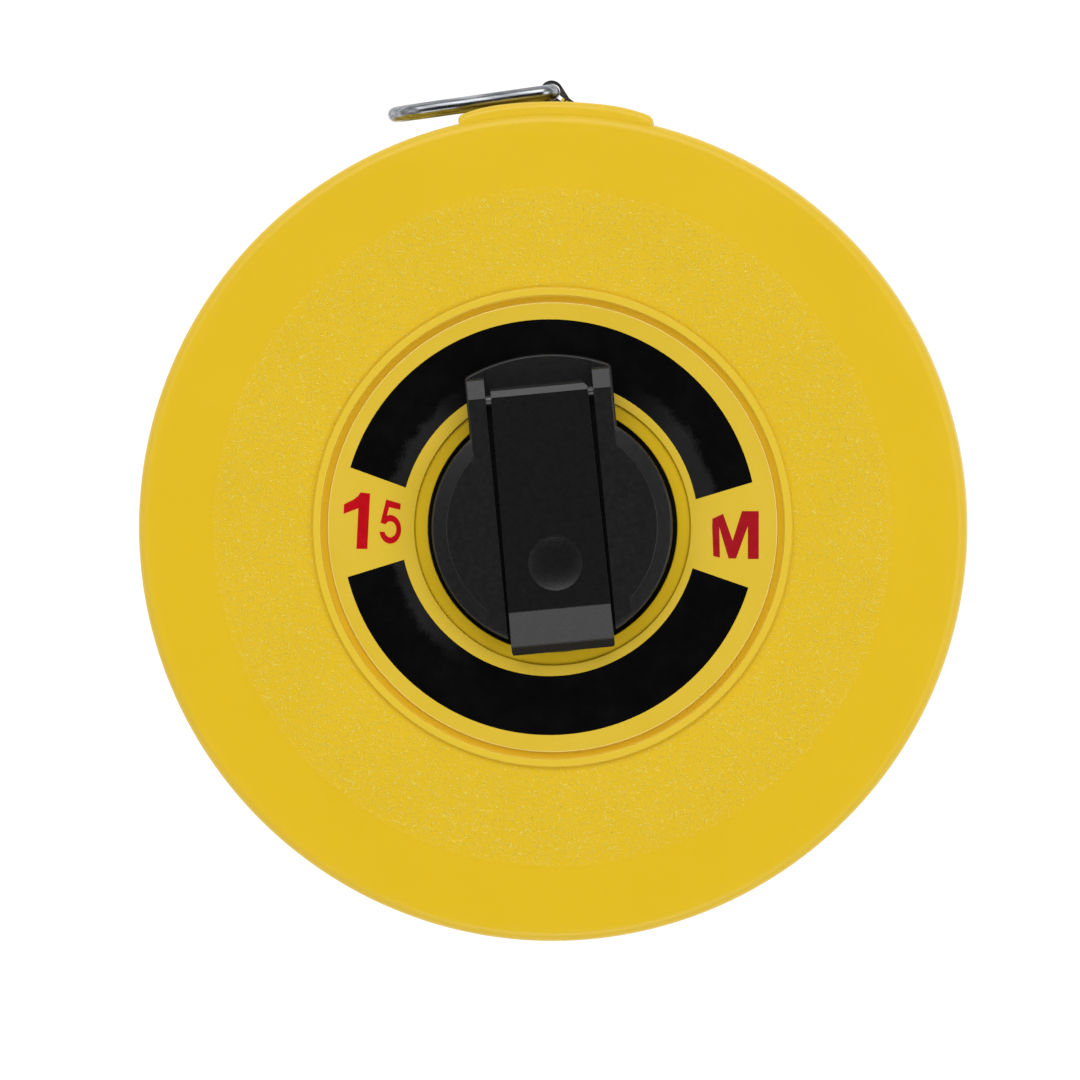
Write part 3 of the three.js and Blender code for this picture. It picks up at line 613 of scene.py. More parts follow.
def ink_look(name, low, high, hazed=0.0):
    """Printed ink under the sticker's glossy film, with dull patches near the hub."""
    look = Look(name, 0.2, Specular_IOR_Level=0.35)
    look.tint(low, high, 1.2)
    rough = look.range(look.noise(4, 4), 0.3, 0.7, 0.15, 0.24)
    if hazed:
        haze = look.math("MULTIPLY", dull_patches(look, HAZE_R), hazed)
        rough = look.math("ADD", rough, haze)
    look.set("Roughness", rough)
    ripple = look.bump(look.noise(3.2, 3), 0.03, 0.5)
    look.set("Normal", look.bump(look.noise(0.2, 2), 0.004, 0.6, ripple))
    return look.material


def black_look(name, smooth, rough):
    """Black moulded plastic with a fine matt bloom and a few bright specks."""
    look = Look(name, smooth)
    specks = look.range(look.cells(0.9, "F1"), 0.04, 0.08, 1, 0)
    rare = look.math("MULTIPLY", specks, look.range(look.noise(1.1, 2), 0.64, 0.68))
    base = look.mix(look.noise(3, 4), (0.0038, 0.0038, 0.004, 1), (0.0044, 0.0044, 0.0046, 1))
    look.set("Base Color", look.mix(rare, base, (0.05, 0.05, 0.05, 1)))
    look.worn(smooth, rough, 0.7)
    bloom = look.bump(look.noise(6, 2), 0.02, 0.2)
    look.set("Normal", look.bump(look.noise(0.16, 3), 0.005, 0.6, bloom))
    return look.material


def spool_look():
    """Plain off-white plastic with moulding marks."""
    look = Look("spool_white", 0.5)
    look.tint((0.66, 0.63, 0.55), (0.74, 0.71, 0.64), 6)
    look.worn(0.44, 0.58, 2)
    look.set("Normal", look.bump(look.noise(0.4, 3), 0.01, 0.5))
    return look.material


def tape_look():
    """Yellow coated fibreglass tape with a mark every millimetre and a bolder one every ten."""
    look = Look("tape_film", 0.42)
    along = look.node(
        "ShaderNodeVectorMath",
        {0: look.place, 1: tuple(TAPE_TURN)},
        operation="DOT_PRODUCT",
    ).outputs["Value"]
    split = look.node("ShaderNodeSeparateXYZ", {0: look.place})
    depth = look.math("DIVIDE", split.outputs[2], MM)
    length = look.math("DIVIDE", along, MM)
    edge = MIDDLE_Z + TAPE_WIDTH / 2

    def marks(every, thick, reach):
        beat = look.math("PINGPONG", look.math("ADD", length, 500), every / 2)
        line = look.range(beat, thick / 2, thick / 2 + 0.04, 1, 0)
        return look.math("MULTIPLY", line, look.range(depth, edge - reach - 0.05, edge - reach))

    lines = look.math("MAXIMUM", marks(1, 0.2, 3), marks(10, 0.35, 7))
    weave = look.noise(0.35, 2, stretch=(1, 1, 0.25))
    base = look.mix(weave, (0.76, 0.6, 0.055, 1), (0.82, 0.68, 0.09, 1))
    look.set("Base Color", look.mix(lines, base, (0.015, 0.015, 0.015, 1)))
    look.worn(0.38, 0.48, 1.5)
    look.set("Normal", look.bump(weave, 0.01, 0.5))
    return look.material


def metal_look(name, low, high, smooth, rough, scratch):
    """Plated metal with dull streaks and fine wipe marks along X."""
    look = Look(name, smooth, metallic=1.0)
    streaks = look.range(look.noise(0.7, 2, stretch=(0.08, 1, 1)), 0.35, 0.65)
    look.set("Base Color", look.mix(streaks, (*low, 1), (*high, 1)))
    look.worn(smooth, rough, 1.2)
    wipes = look.noise(0.5, 3, stretch=(0.12, 1, 1))
    look.set("Normal", look.bump(wipes, scratch, 0.5))
    return look.material


LOOKS = {
    "shell_yellow": shell_look(),
    "label_film": film_look(),
    "label_black": ink_look(
        "label_black", (0.0012, 0.0012, 0.0014), (0.002, 0.002, 0.0022), hazed=0.26
    ),
    "label_red": ink_look("label_red", (0.47, 0.003, 0.008), (0.53, 0.005, 0.012)),
    "label_dark_red": ink_look("label_dark_red", (0.34, 0.007, 0.013), (0.38, 0.01, 0.018)),
    "hub_black": black_look("hub_black", 0.3, 0.36),
    "lever_black": black_look("lever_black", 0.26, 0.3),
    "spool_white": spool_look(),
    "tape_film": tape_look(),
    "fastener_steel": metal_look(
        "fastener_steel", (0.5, 0.5, 0.51), (0.6, 0.6, 0.6), 0.26, 0.38, 0.012
    ),
    "pin_steel": metal_look(
        "pin_steel", (0.07, 0.07, 0.07), (0.13, 0.13, 0.13), 0.4, 0.5, 0.01
    ),
    "clip_steel": metal_look(
        "clip_steel", (0.3, 0.3, 0.31), (0.45, 0.45, 0.46), 0.16, 0.26, 0.008
    ),
    "ring_chrome": metal_look(
        "ring_chrome", (0.155, 0.163, 0.178), (0.4, 0.415, 0.44), 0.17, 0.28, 0.006
    ),
}


def place(obj, look, body, slot=None, stands_for=(), sharp=38):
    """Gives a finished piece its shading, material and body; the slot argument is not used."""
    obj.data.polygons.foreach_set("use_smooth", [True] * len(obj.data.polygons))
    obj.data.set_sharp_from_angle(angle=math.radians(sharp))
    # Weighting by area keeps large flat faces flat beside their rounded edges.
    apply(obj, "WEIGHTED_NORMAL", mode="FACE_AREA", keep_sharp=True, weight=60)
    obj.data.materials.clear()
    obj.data.materials.append(LOOKS[look])
    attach(obj, body)
    if stands_for:
        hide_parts(*stands_for)
    return obj


# ---- The tape's own directions ------------------------------------------------------------

TAPE_OUT = Vector((TAPE_TURN.y, -TAPE_TURN.x)).normalized()
BAR_S = RING_BAR.dot(TAPE_TURN.to_2d())
TAPE_LINE_R = RING_BAR.dot(TAPE_OUT)


def on_tape(s, n):
    """The (x, y) of a point s along the tape and n outwards from the tape's middle."""
    return tuple(TAPE_TURN.to_2d() * s + TAPE_OUT * (TAPE_LINE_R + n))


def tape_outline(points):
    return [on_tape(s, n) for s, n in points]


def tape_block(name, low_s, high_s, low_n, high_n, width):
    corners = [(low_s, low_n), (high_s, low_n), (high_s, high_n), (low_s, high_n)]
    outline = tape_outline(corners)
    return prism(name, outline, MIDDLE_Z - width / 2, MIDDLE_Z + width / 2)


# ---- The case's two halves ------------------------------------------------------------------


def half_profile(centre, rim):
    """Half of the case as (radius, depth) corners, depth inwards from the bead's top."""
    side_r = CASE_R - SIDE_DRAFT
    corners = [
        *centre,
        (SEAT_R, SEAT_DEPTH, SEAT_ROUND),
        (SEAT_R, GROOVE_DEPTH, GROOVE_ROUND),
        (BEAD_INNER_R, GROOVE_DEPTH, GROOVE_ROUND),
        (BEAD_INNER_R, 0, GROOVE_ROUND),
        (BEAD_OUTER_R, 0, BEAD_ROUND),
        (BEAD_OUTER_R, FACE_DEPTH, BEAD_ROUND),
        (GRAIN_R, FACE_DEPTH, 0),
        (GRAIN_R + GRAIN_STEP, BAND_DEPTH, 0),
        (side_r, BAND_DEPTH + FACE_TAPER, EDGE_ROUND),
        *rim,
        (INSIDE_R, FACE_DEPTH + WALL, INSIDE_ROUND),
    ]
    return rounded(corners, 7)


def mouth_pad(low, high):
    """The low pad round the mouth: a rounded section swept round the rim."""
    steps = 40
    verts = []
    end_turn = math.degrees(PAD_END_ROUND / PAD_R)
    taper_turn = math.degrees(PAD_TAPER / PAD_R)
    for step in range(steps + 1):
        share = 0.5 - 0.5 * math.cos(math.pi * step / steps)
        angle = PAD_RIGHT + (PAD_LEFT - PAD_RIGHT) * share
        from_end = min(angle - PAD_RIGHT, PAD_LEFT - angle)
        rounding = max(0.0, 1 - from_end / end_turn)
        tapering = max(0.0, 1 - from_end / taper_turn)
        outer = PAD_R - PAD_END_ROUND * (1 - math.sqrt(1 - rounding**2))
        outer -= PAD_TAPER_FALL * tapering**2
        corners = [(PAD_ROOT_R, low, 0), (outer, low, 0), (outer, high, 0), (PAD_ROOT_R, high, 0)]
        if low < MIDDLE_Z - 1:
            corners[1] = (outer, low, PAD_ROUND)
        if high > MIDDLE_Z + 1:
            corners[2] = (outer, high, PAD_ROUND)
        for r, z in rounded(corners, 5):
            verts.append((*polar(r, angle), z))
    count = len(verts) // (steps + 1)
    faces = [list(range(count)), list(range(steps * count, (steps + 1) * count))]
    for step in range(steps):
        for i in range(count):
            j = (i + 1) % count
            here = step * count
            faces.append([here + i, here + j, here + count + j, here + count + i])
    return solid("mouth_pad", verts, faces)


def mouth_tools():
    """What the mouth takes out of a half: the ring's channel and the tape's slot."""
    end = math.degrees(math.acos(CHANNEL_END_X / CHANNEL_FLOOR_R))
    far = PAD_R + 8
    outline = arc((0, 0), CHANNEL_FLOOR_R, end, PAD_LEFT + 8, 24)
    outline += [polar(far, PAD_LEFT + 8), (0, far), (CHANNEL_END_X, far)]
    low, high = MIDDLE_Z - CHANNEL_HALF_WIDTH, MIDDLE_Z + CHANNEL_HALF_WIDTH
    half = SLOT_HEIGHT / 2
    return [
        prism("channel", outline, low, high),
        tape_block("slot", 20, BAR_S - 0.8, -half, half, SLOT_WIDTH),
    ]


def screw_post(angle, low, high):
    x, y = polar(SCREW_CIRCLE_R, angle)
    return rod("post", SCREW_POST_R, low, high, (x, y), 32)


def rear_shell():
    half = (FRONT_Z - PARTING_GAP) / 2
    centre = [
        (SPINDLE_FOOT_R, FACE_DEPTH + WALL, 0.2),
        (SPINDLE_FOOT_R, SPINDLE_FOOT_Z, 0.1),
        (SPINDLE_R, SPINDLE_FOOT_Z, 0.2),
        (SPINDLE_R, SPINDLE_TOP_Z, 0.5),
        (0, SPINDLE_TOP_Z, 0),
        (0, 0, 0),
        (REAR_DISC_R, 0, 0.25),
        (REAR_DISC_R, SEAT_DEPTH, SEAT_ROUND),
    ]
    rim = [
        (CASE_R, half, PARTING_ROUND),
        (TONGUE_R, half, 0),
        (TONGUE_R, half + TONGUE_HEIGHT, 0.2),
        (INSIDE_R, half + TONGUE_HEIGHT, 0.1),
    ]
    shell = lathe("rear_shell_body", half_profile(centre, rim), 224)
    join(shell, mouth_pad(MIDDLE_Z - PAD_HALF_WIDTH, half))
    for angle in SCREW_ANGLES:
        x, y = polar(SCREW_CIRCLE_R, angle)
        join(shell, screw_post(angle, POST_ROOT_DEPTH - 0.1, half))
        head = rod("head", SCREW_HEAD_R + SCREW_HEAD_PLAY, -1, SCREW_SEAT_Z, (x, y), 48)
        shank = rod("shank", SCREW_HOLE_R, 0, half + 1, (x, y), 32)
        cut(shell, head, shank)
    return cut(shell, *mouth_tools())


def front_shell():
    half = (FRONT_Z - PARTING_GAP) / 2
    rebate = half - TONGUE_HEIGHT - TONGUE_CLEARANCE
    rebate_r = TONGUE_R + TONGUE_PLAY
    centre = [
        (HUB_HOLE_R, FACE_DEPTH + WALL, 0.2),
        (HUB_HOLE_R, RECESS_DEPTH, 0.15),
        (RECESS_R, RECESS_DEPTH, 0.2),
        (RECESS_R, SEAT_DEPTH, 0.12),
    ]
    rim = [
        (CASE_R, half, PARTING_ROUND),
        (rebate_r, half, 0),
        (rebate_r, rebate, 0),
        (INSIDE_R, rebate, 0),
    ]
    profile = [(r, FRONT_Z - depth) for r, depth in half_profile(centre, rim)]
    shell = lathe("front_shell_body", profile, 224)
    bottom = FRONT_Z - half
    join(shell, mouth_pad(bottom, MIDDLE_Z + PAD_HALF_WIDTH))
    rebate_space = lathe(
        "rebate",
        [
            (INSIDE_R - 1, bottom - 1),
            (rebate_r, bottom - 1),
            (rebate_r, FRONT_Z - rebate),
            (INSIDE_R - 1, FRONT_Z - rebate),
        ],
        224,
    )
    cut(shell, rebate_space)
    for angle in SCREW_ANGLES:
        join(shell, screw_post(angle, FRONT_Z - rebate, FRONT_Z - POST_ROOT_DEPTH))
    return cut(shell, *mouth_tools())


# ---- The labels ---------------------------------------------------------------------------


def label(name, hole, low, high):
    lip = LABEL_EDGE_ROUND
    corners = [(hole, low, 0), (LABEL_R, low, 0), (LABEL_R, high, lip), (hole, high, lip)]
    return lathe(name, rounded(corners, 3), 224)


def band_outline(outer_span, inner_span):
    """A band of the print."""
    outer = arc((PRINT_SHIFT, 0), BAND_OUTER_R, *outer_span, 72)
    inner = arc((PRINT_SHIFT, 0), BAND_INNER_R, *inner_span[::-1], 60)
    return outer + inner


def in_box(box, points, lean=0.0):
    """Places points given as shares of a box, sheared right by this share of height."""
    left, low, width, height = box
    return [(left + width * x + lean * height * y, low + height * y) for x, y in points]


def one_outline(box):
    """A bold numeral one with a sloping flag, leaning a little."""
    stem = 0.57
    points = [
        (1, 0),
        (1, 0.98),
        (0.63, 1),
        (0.52, 0.93),
        (0.35, 0.87),
        (0, 0.79),
        (0, 0.62),
        (stem, 0.72),
        (stem, 0),
    ]
    return in_box(box, points, 0.049)


def five_outline(box):
    """A bold numeral five: a sloping top bar, a straight neck and a round bowl."""
    left, low, width, height = box
    bowl = height * 0.325
    inner = bowl - width * 0.29
    across = width / 2 / bowl
    centre = left + width / 2, low + bowl

    def bowl_arc(radius, start, end, steps):
        points = arc((0, 0), radius, start, end, steps)
        return [(centre[0] + x * across, centre[1] + y) for x, y in points]

    bar_end = in_box(box, [(0.98, 0.906), (0.316, 1), (0.05, 0.473), (0.23, 0.443)])
    bar_start = in_box(box, [(0.445, 0.829), (0.96, 0.765)])
    return bar_end + bowl_arc(inner, 140, -162, 20) + bowl_arc(bowl, -171, 108, 28) + bar_start


def em_outline(box):
    """A bold capital M, its left leg lighter and lower than its right."""
    points = [
        (0.025, 0.06),
        (0, 0.66),
        (0.005, 0.84),
        (0.233, 0.944),
        (0.44, 0.38),
        (0.64, 1),
        (1, 1),
        (1, 0),
        (0.766, 0),
        (0.766, 0.69),
        (0.513, 0.01),
        (0.352, 0.01),
        (0.151, 0.67),
        (0.166, 0.03),
    ]
    return in_box(box, points)


def add_labels():
    seat = FRONT_Z - SEAT_DEPTH
    top = seat + LABEL_THICK
    film = label("front_label_film", LABEL_HOLE_R, seat, top)
    place(film, "label_film", "housing", stands_for=["front_label"])
    prints = {
        "label_band_upper": (band_outline(*UPPER_BAND), "label_black"),
        "label_band_lower": (band_outline(*LOWER_BAND), "label_black"),
        "label_numeral_one": (one_outline(ONE_BOX), "label_red"),
        "label_numeral_five": (five_outline(FIVE_BOX), "label_red"),
        "label_unit_letter": (em_outline(EM_BOX), "label_dark_red"),
    }
    for name, (outline, look) in prints.items():
        ink = prism(name, outline, top - 0.01, top + INK_THICK)
        place(ink, look, "housing", slot="label_film")
    back_top = SEAT_DEPTH - LABEL_THICK
    back = label("rear_label_film", REAR_LABEL_HOLE_R, back_top, SEAT_DEPTH)
    place(back, "label_film", "housing", stands_for=["rear_label"])
    band = lathe(
        "rear_label_band",
        [
            (REAR_BAND_INNER_R, back_top - INK_THICK),
            (REAR_BAND_OUTER_R, back_top - INK_THICK),
            (REAR_BAND_OUTER_R, back_top + 0.01),
            (REAR_BAND_INNER_R, back_top + 0.01),
        ],
        160,
    )
    place(band, "label_black", "housing", slot="label_film")


# ---- Screws ---------------------------------------------------------------------------------


def cross_screw(name, head_r, head_height, shank_r, length, threads):
    """A pan-head cross-recess screw: its head's underside at z = 0, its shank upwards."""
    pitch = (length - 2) / threads
    corners = [
        (0, -head_height, 0),
        (head_r * 0.72, -head_height, head_height * 0.3),
        (head_r, -head_height * 0.5, head_height * 0.25),
        (head_r, 0, 0.1),
        (shank_r * 0.82, 0, 0),
        (shank_r * 0.82, 1, 0),
    ]
    for i in range(threads):
        z = 1 + i * pitch
        corners += [
            (shank_r * 0.82, z + pitch * 0.3, 0),
            (shank_r, z + pitch * 0.5, 0),
            (shank_r * 0.82, z + pitch * 0.7, 0),
        ]
    corners += [(shank_r * 0.8, length - 1, 0), (0, length, 0)]
    screw = lathe(name, rounded(corners, 4), 48)
    arm, reach, depth = head_r * 0.14, head_r * 0.58, head_height * 0.62
    for half_x, half_y in ((arm, reach), (reach, arm)):
        low = (-half_x, -half_y, -head_height - 0.5)
        high = (half_x, half_y, -head_height + depth)
        cut(screw, block("recess", low, high))
    return screw


def add_screws():
    for i, angle in enumerate(SCREW_ANGLES, 1):
        x, y = polar(SCREW_CIRCLE_R, angle)
        screw = cross_screw(
            f"case_screw_{i}_body",
            SCREW_HEAD_R,
            head_height=1.3,
            shank_r=1.0,
            length=13,
            threads=14,
        )
        turn(screw, 17 * i)
        shift(screw, x, y, SCREW_SEAT_Z)
        place(screw, "fastener_steel", "housing", stands_for=[f"case_screw_{i}"])
    for i, x in enumerate((-HUB_SCREW_X, HUB_SCREW_X), 1):
        screw = cross_screw(
            f"hub_screw_{i}_body",
            head_r=2.2,
            head_height=1.4,
            shank_r=1.2,
            length=6,
            threads=6,
        )
        turn(shift(screw, x, HUB_SCREW_Y, HUB_SCREW_SEAT_Z))
        place(screw, "fastener_steel", "crank", stands_for=[f"hub_screw_{i}"])
    screw = cross_screw(
        "knob_screw_body",
        head_r=2.4,
        head_height=1.15,
        shank_r=0.85,
        length=3.2,
        threads=3,
    )
    turn(shift(screw, 0, KNOB_Y, STUD_END_Z - 0.1))
    place(screw, "fastener_steel", "lever", stands_for=["knob_screw"])


# ---- The crank ------------------------------------------------------------------------------


def pocket_outline(radius):
    foot = KNOB_Y - POCKET_SWING
    return arc((0, KNOB_Y), radius, 0, 180, 24) + arc((0, foot), radius, 180, 360, 24)


def hub_body():
    """The hub: a round boss and a neck with two ears, cut by the lever's slot."""
    profile = rounded(
        [
            (0, HUB_BOTTOM_Z, 0),
            (HUB_SHANK_R, HUB_BOTTOM_Z, 0.3),
            (HUB_SHANK_R, HUB_STEP_Z, 0.2),
            (HUB_R, HUB_STEP_Z, 0.3),
            (HUB_R, HUB_RIM_Z - 0.05, 0.3),
            (PLATEAU_R + 0.1, HUB_TOP_Z - 0.25, 0.03),
            (PLATEAU_R, HUB_TOP_Z, 0.14),
            (0, HUB_TOP_Z, 0),
        ],
        5,
    )
    hub = lathe("crank_hub_body", profile, 160)
    half = NECK_HALF_WIDTH
    corner = math.degrees(math.acos(half / NECK_R))
    neck_outline = [(-half, NECK_FOOT_Y), (half, NECK_FOOT_Y)]
    neck_outline += arc((0, 0), NECK_R, corner, 180 - corner, 32)
    neck = prism("neck", neck_outline, NECK_BOTTOM_Z, SLOT_FLOOR_Z)
    soften(neck, 0.4, 4, 50)
    # The bar that carries both ears runs across the hub and just over its rim.
    bar_foot = -BAR_END_R - 1
    ear_profile = rounded(
        [
            (bar_foot, NECK_BOTTOM_Z + 0.3, 0),
            (NECK_R, NECK_BOTTOM_Z + 0.3, 0),
            (NECK_R, EAR_FOOT_Z, 0),
            (EAR_END_Y + 0.1, EAR_FOOT_Z, 0),
            (EAR_END_Y, HUB_TOP_Z - 0.75, 0.4),
            (EAR_SLOPE_Y, HUB_TOP_Z, 0.3),
            (bar_foot, HUB_TOP_Z, 0),
        ],
        5,
    )
    bar_half = half - NECK_STEP
    ears = prism("ears", ear_profile, -bar_half, bar_half, "X")
    end_r = NECK_R - NECK_STEP
    end = math.degrees(math.acos(BAR_END_R / end_r))
    plan = arc((0, 0), BAR_END_R, 180, 360, 64) + arc((0, 0), end_r, end, 180 - end, 48)
    combine(ears, [prism("bar_plan", plan, NECK_BOTTOM_Z - 1, HUB_TOP_Z + 1)], "INTERSECT")
    soften(ears, 0.2, 3, 50)
    join(hub, neck, ears)
    slot_half = LEVER_SLOT_HALF
    slot_low = (-slot_half, -HUB_R - 1, SLOT_FLOOR_Z)
    slot = block("lever_slot", slot_low, (slot_half, NECK_R + 1, HUB_TOP_Z + 1))
    pocket = prism("pocket", pocket_outline(POCKET_R), POCKET_FLOOR_Z, HUB_TOP_Z + 1)
    reach = half + 1
    bore = rod("bore", HINGE_PIN_R + 0.05, -reach, reach, (HINGE_Y, HINGE_Z), 32, "X")
    cut(hub, slot, pocket, bore)
    return hub


def lever_body():
    """The lever: a flat bar with a rounded heel at its hinge and a sloping lip at its tip."""
    foot = math.degrees(math.asin((HINGE_Z - LEVER_UNDER_Z) / HEEL_R))
    lip_z = LEVER_TOP_Z + LIP_HEIGHT
    heel_arc = arc((HINGE_Y, HINGE_Z), HEEL_R, -180 + foot, 12, 24)
    side = rounded(
        [
            (LIP_START_Y, LEVER_TOP_Z, 1.0),
            (LIP_TOP_Y, lip_z, 0.15),
            (LEVER_TIP_Y + 0.15, lip_z - 2.0, 0.5),
            (LEVER_TIP_Y, LEVER_TOP_Z - 1.3, 0.3),
            (LEVER_TIP_Y + 1.4, LEVER_UNDER_Z, 0.2),
            *[(y, z, 0) for y, z in heel_arc],
            (HINGE_Y + 1.25, LEVER_TOP_Z - 0.32, 0.12),
            (HINGE_Y + 0.35, LEVER_TOP_Z, 0.1),
        ],
        4,
    )
    wide = LEVER_HALF_TIP + 1
    lever = prism("crank_lever_body", side, -wide, wide, "X")
    end = HINGE_Y + HEEL_R + 0.02
    plan = rounded(
        [
            (-LEVER_HALF_TIP, LEVER_TIP_Y - 0.02, 0.5),
            (LEVER_HALF_TIP, LEVER_TIP_Y - 0.02, 0.5),
            (LEVER_HALF_HINGE, end - HEEL_CHAMFER, 0),
            (LEVER_HALF_HINGE - HEEL_CHAMFER, end, 0),
            (-LEVER_HALF_HINGE + HEEL_CHAMFER / 4, end, 0),
            (-LEVER_HALF_HINGE, end - HEEL_CHAMFER / 4, 0),
        ],
        6,
    )
    combine(lever, [prism("plan", plan, LEVER_UNDER_Z - 2, lip_z + 2)], "INTERSECT")
    soften(lever, 0.32, 4, 40)
    room = LEVER_HALF_HINGE - LEVER_RIM
    coring = block(
        "coring",
        (-room, LEVER_TIP_Y + 2.8, LEVER_UNDER_Z - 1),
        (room, HINGE_Y - BARREL_R - 0.8, LEVER_TOP_Z - LEVER_SKIN),
    )
    boss = rod("boss", KNOB_R + 0.2, LEVER_UNDER_Z - 2, LEVER_TOP_Z, (0, KNOB_Y), 64)
    cut(coring, boss)
    for y in LEVER_RIBS_Y:
        cut(coring, block("rib", (-7, y - 0.5, LEVER_UNDER_Z - 2), (7, y + 0.5, 40)))
    reach = LEVER_HALF_TIP + 1
    bore = rod("bore", HINGE_PIN_R + 0.08, -reach, reach, (HINGE_Y, HINGE_Z), 32, "X")
    hole = rod("hole", STUD_R + 0.05, LEVER_UNDER_Z - 1, LEVER_TOP_Z + 1, (0, KNOB_Y), 48)
    seat = rod("seat", DISH_R + 0.02, LEVER_TOP_Z - 1, LEVER_TOP_Z + 1, (0, KNOB_Y), 96)
    return cut(lever, coring, bore, hole, seat)


def knob_stud():
    """The stud the knob turns on; its broad head shows on top as a shallow dish."""
    head_top = LEVER_TOP_Z - 0.005
    head_under = LEVER_TOP_Z - STUD_HEAD_THICK
    steps = 24
    dish = []
    for step in range(steps + 1):
        share = step / steps
        fall = DISH_DEPTH * (1 - share**2.3)
        dish.append(((DISH_R - 0.05) * share, head_top - fall, 0))
    corners = dish + [
        (DISH_R, head_top - 0.01, 0),
        (DISH_R, head_under, 0.05),
        (STUD_R, head_under, 0),
        (STUD_R, STUD_END_Z, 0.1),
        (STUD_BORE_R, STUD_END_Z, 0),
        (STUD_BORE_R, STUD_BORE_END_Z, 0),
        (0, STUD_BORE_END_Z, 0),
    ]
    return lathe("knob_stud_body", rounded(corners, 3), 96)


def knob_body():
    """The knob: a short waisted sleeve with finger grooves."""
    bore = STUD_R + 0.08
    room_top = KNOB_BOTTOM_Z + KNOB_ROOM_HEIGHT
    corners = [
        (bore, KNOB_TOP_Z, 0.1),
        (bore, room_top, 0),
        (KNOB_ROOM_R, room_top, 0.1),
        (KNOB_ROOM_R, KNOB_BOTTOM_Z, 0.15),
        (KNOB_R, KNOB_BOTTOM_Z, 0.7),
    ]
    plain_end = 1.2
    span = (KNOB_TOP_Z - KNOB_BOTTOM_Z - 2 * plain_end) / KNOB_GROOVES
    for i in range(KNOB_GROOVES):
        z = KNOB_BOTTOM_Z + plain_end + span * i
        corners += [
            (KNOB_R - 0.05, z + span * 0.15, 0.06),
            (KNOB_R - 0.25, z + span * 0.35, 0.08),
            (KNOB_R - 0.25, z + span * 0.65, 0.08),
            (KNOB_R - 0.05, z + span * 0.85, 0.06),
        ]
    corners += [(KNOB_R, KNOB_TOP_Z, 0.5)]
    return lathe("crank_knob_body", rounded(corners, 4), 72)


def add_crank():
    hub = turn(hub_body())
    place(hub, "hub_black", "crank", slot="crank_black", stands_for=["crank_hub"])
    reach = NECK_HALF_WIDTH - 0.3
    pin = rod("hinge_pin_body", HINGE_PIN_R, -reach, reach, (HINGE_Y, HINGE_Z), 32, "X")
    turn(soften(pin, 0.12, 2, 50))
    place(pin, "pin_steel", "crank", slot="fastener_steel", stands_for=["hinge_pin"])
    lever = turn(lever_body())
    place(lever, "lever_black", "lever", slot="crank_black", stands_for=["crank_lever"])
    stud = turn(shift(knob_stud(), 0, KNOB_Y))
    place(stud, "lever_black", "lever", slot="crank_black", stands_for=["knob_stud"])
    knob = turn(shift(knob_body(), 0, KNOB_Y))
    place(knob, "hub_black", "knob", slot="crank_black", stands_for=["crank_knob"])


# ---- The tape's end -----------------------------------------------------------------------


def ring_body():
    """The wire ring: a closed loop, straight at its bar and round at its far end."""
    half = RING_HALF_WIDTH
    outline = rounded(
        [
            (0, -half, RING_BAR_CORNER),
            (RING_LENGTH, -half, RING_END_CORNER),
            (RING_LENGTH, half, RING_END_CORNER),
            (0, half, RING_BAR_CORNER),
        ],
        16,
    )
    path = []
    for s, z in outline:
        x, y = polar(s, RING_ANGLE)
        path.append((RING_BAR.x + x, RING_BAR.y + y, MIDDLE_Z + z))
    return sweep("pull_ring_body", path, RING_WIRE_R, 28)


def clip_body():
    """The sheet clip: a loop round the ring's bar, and two legs that grip the tape."""
    flare = math.asin((CLIP_LOOP_R - CLIP_HALF_THICK) / CLIP_FLARE_LENGTH)
    neck = BAR_S - CLIP_FLARE_LENGTH * math.cos(flare) - CLIP_LOOP_R * math.sin(flare)
    span = 90 + math.degrees(flare)
    outline = [(neck, -CLIP_HALF_THICK)]
    outline += arc((BAR_S, 0), CLIP_LOOP_R, -span, span, 40)
    outline += [(neck, CLIP_HALF_THICK)]
    half = CLIP_LOOP_WIDTH / 2
    clip = prism(
        "end_clip_body", tape_outline(outline), MIDDLE_Z - half, MIDDLE_Z + half
    )
    thick = CLIP_HALF_THICK
    legs = tape_block("legs", CLIP_LEG_START, neck + 0.05, -thick, thick, CLIP_LEG_WIDTH)
    grip = TAPE_THICK / 2 + 0.05
    gap = tape_block("gap", CLIP_LEG_START - 1, BAR_S, -grip, grip, CLIP_LEG_WIDTH + 1)
    eye = rod("eye", CLIP_LOOP_R - CLIP_SHEET, 0, FRONT_Z, RING_BAR, 48)
    cut(join(clip, legs), gap, eye)
    return soften(clip, 0.07, 2, 50)


def rivet(name, z):
    """A domed tubular rivet through the clip and the tape."""
    out = CLIP_HALF_THICK
    half = [
        (0, out + 0.38),
        (0.5, out + 0.36),
        (0.9, out + 0.27),
        (1.18, out + 0.12),
        (RIVET_HEAD_R, out + 0.01),
        (0.8, out + 0.01),
    ]
    profile = half + [(r, -t) for r, t in half[::-1]]
    body = lathe(name, profile, 40)
    body.data.transform(Matrix.Rotation(math.pi / 2, 4, "Y"))
    body.data.transform(Matrix.Rotation(math.atan2(TAPE_OUT.y, TAPE_OUT.x), 4, "Z"))
    x, y = on_tape(RIVET_S, 0)
    return shift(body, x, y, MIDDLE_Z + z)


def add_tape_end():
    place(ring_body(), "ring_chrome", "ring", stands_for=["pull_ring"])
    place(clip_body(), "clip_steel", "tape_end", stands_for=["end_clip"])
    for i, z in enumerate((-RIVET_Z, RIVET_Z), 1):
        body = rivet(f"clip_rivet_{i}_body", z)
        place(body, "clip_steel", "tape_end", stands_for=[f"clip_rivet_{i}"])


# ---- The whole reel -------------------------------------------------------------------------


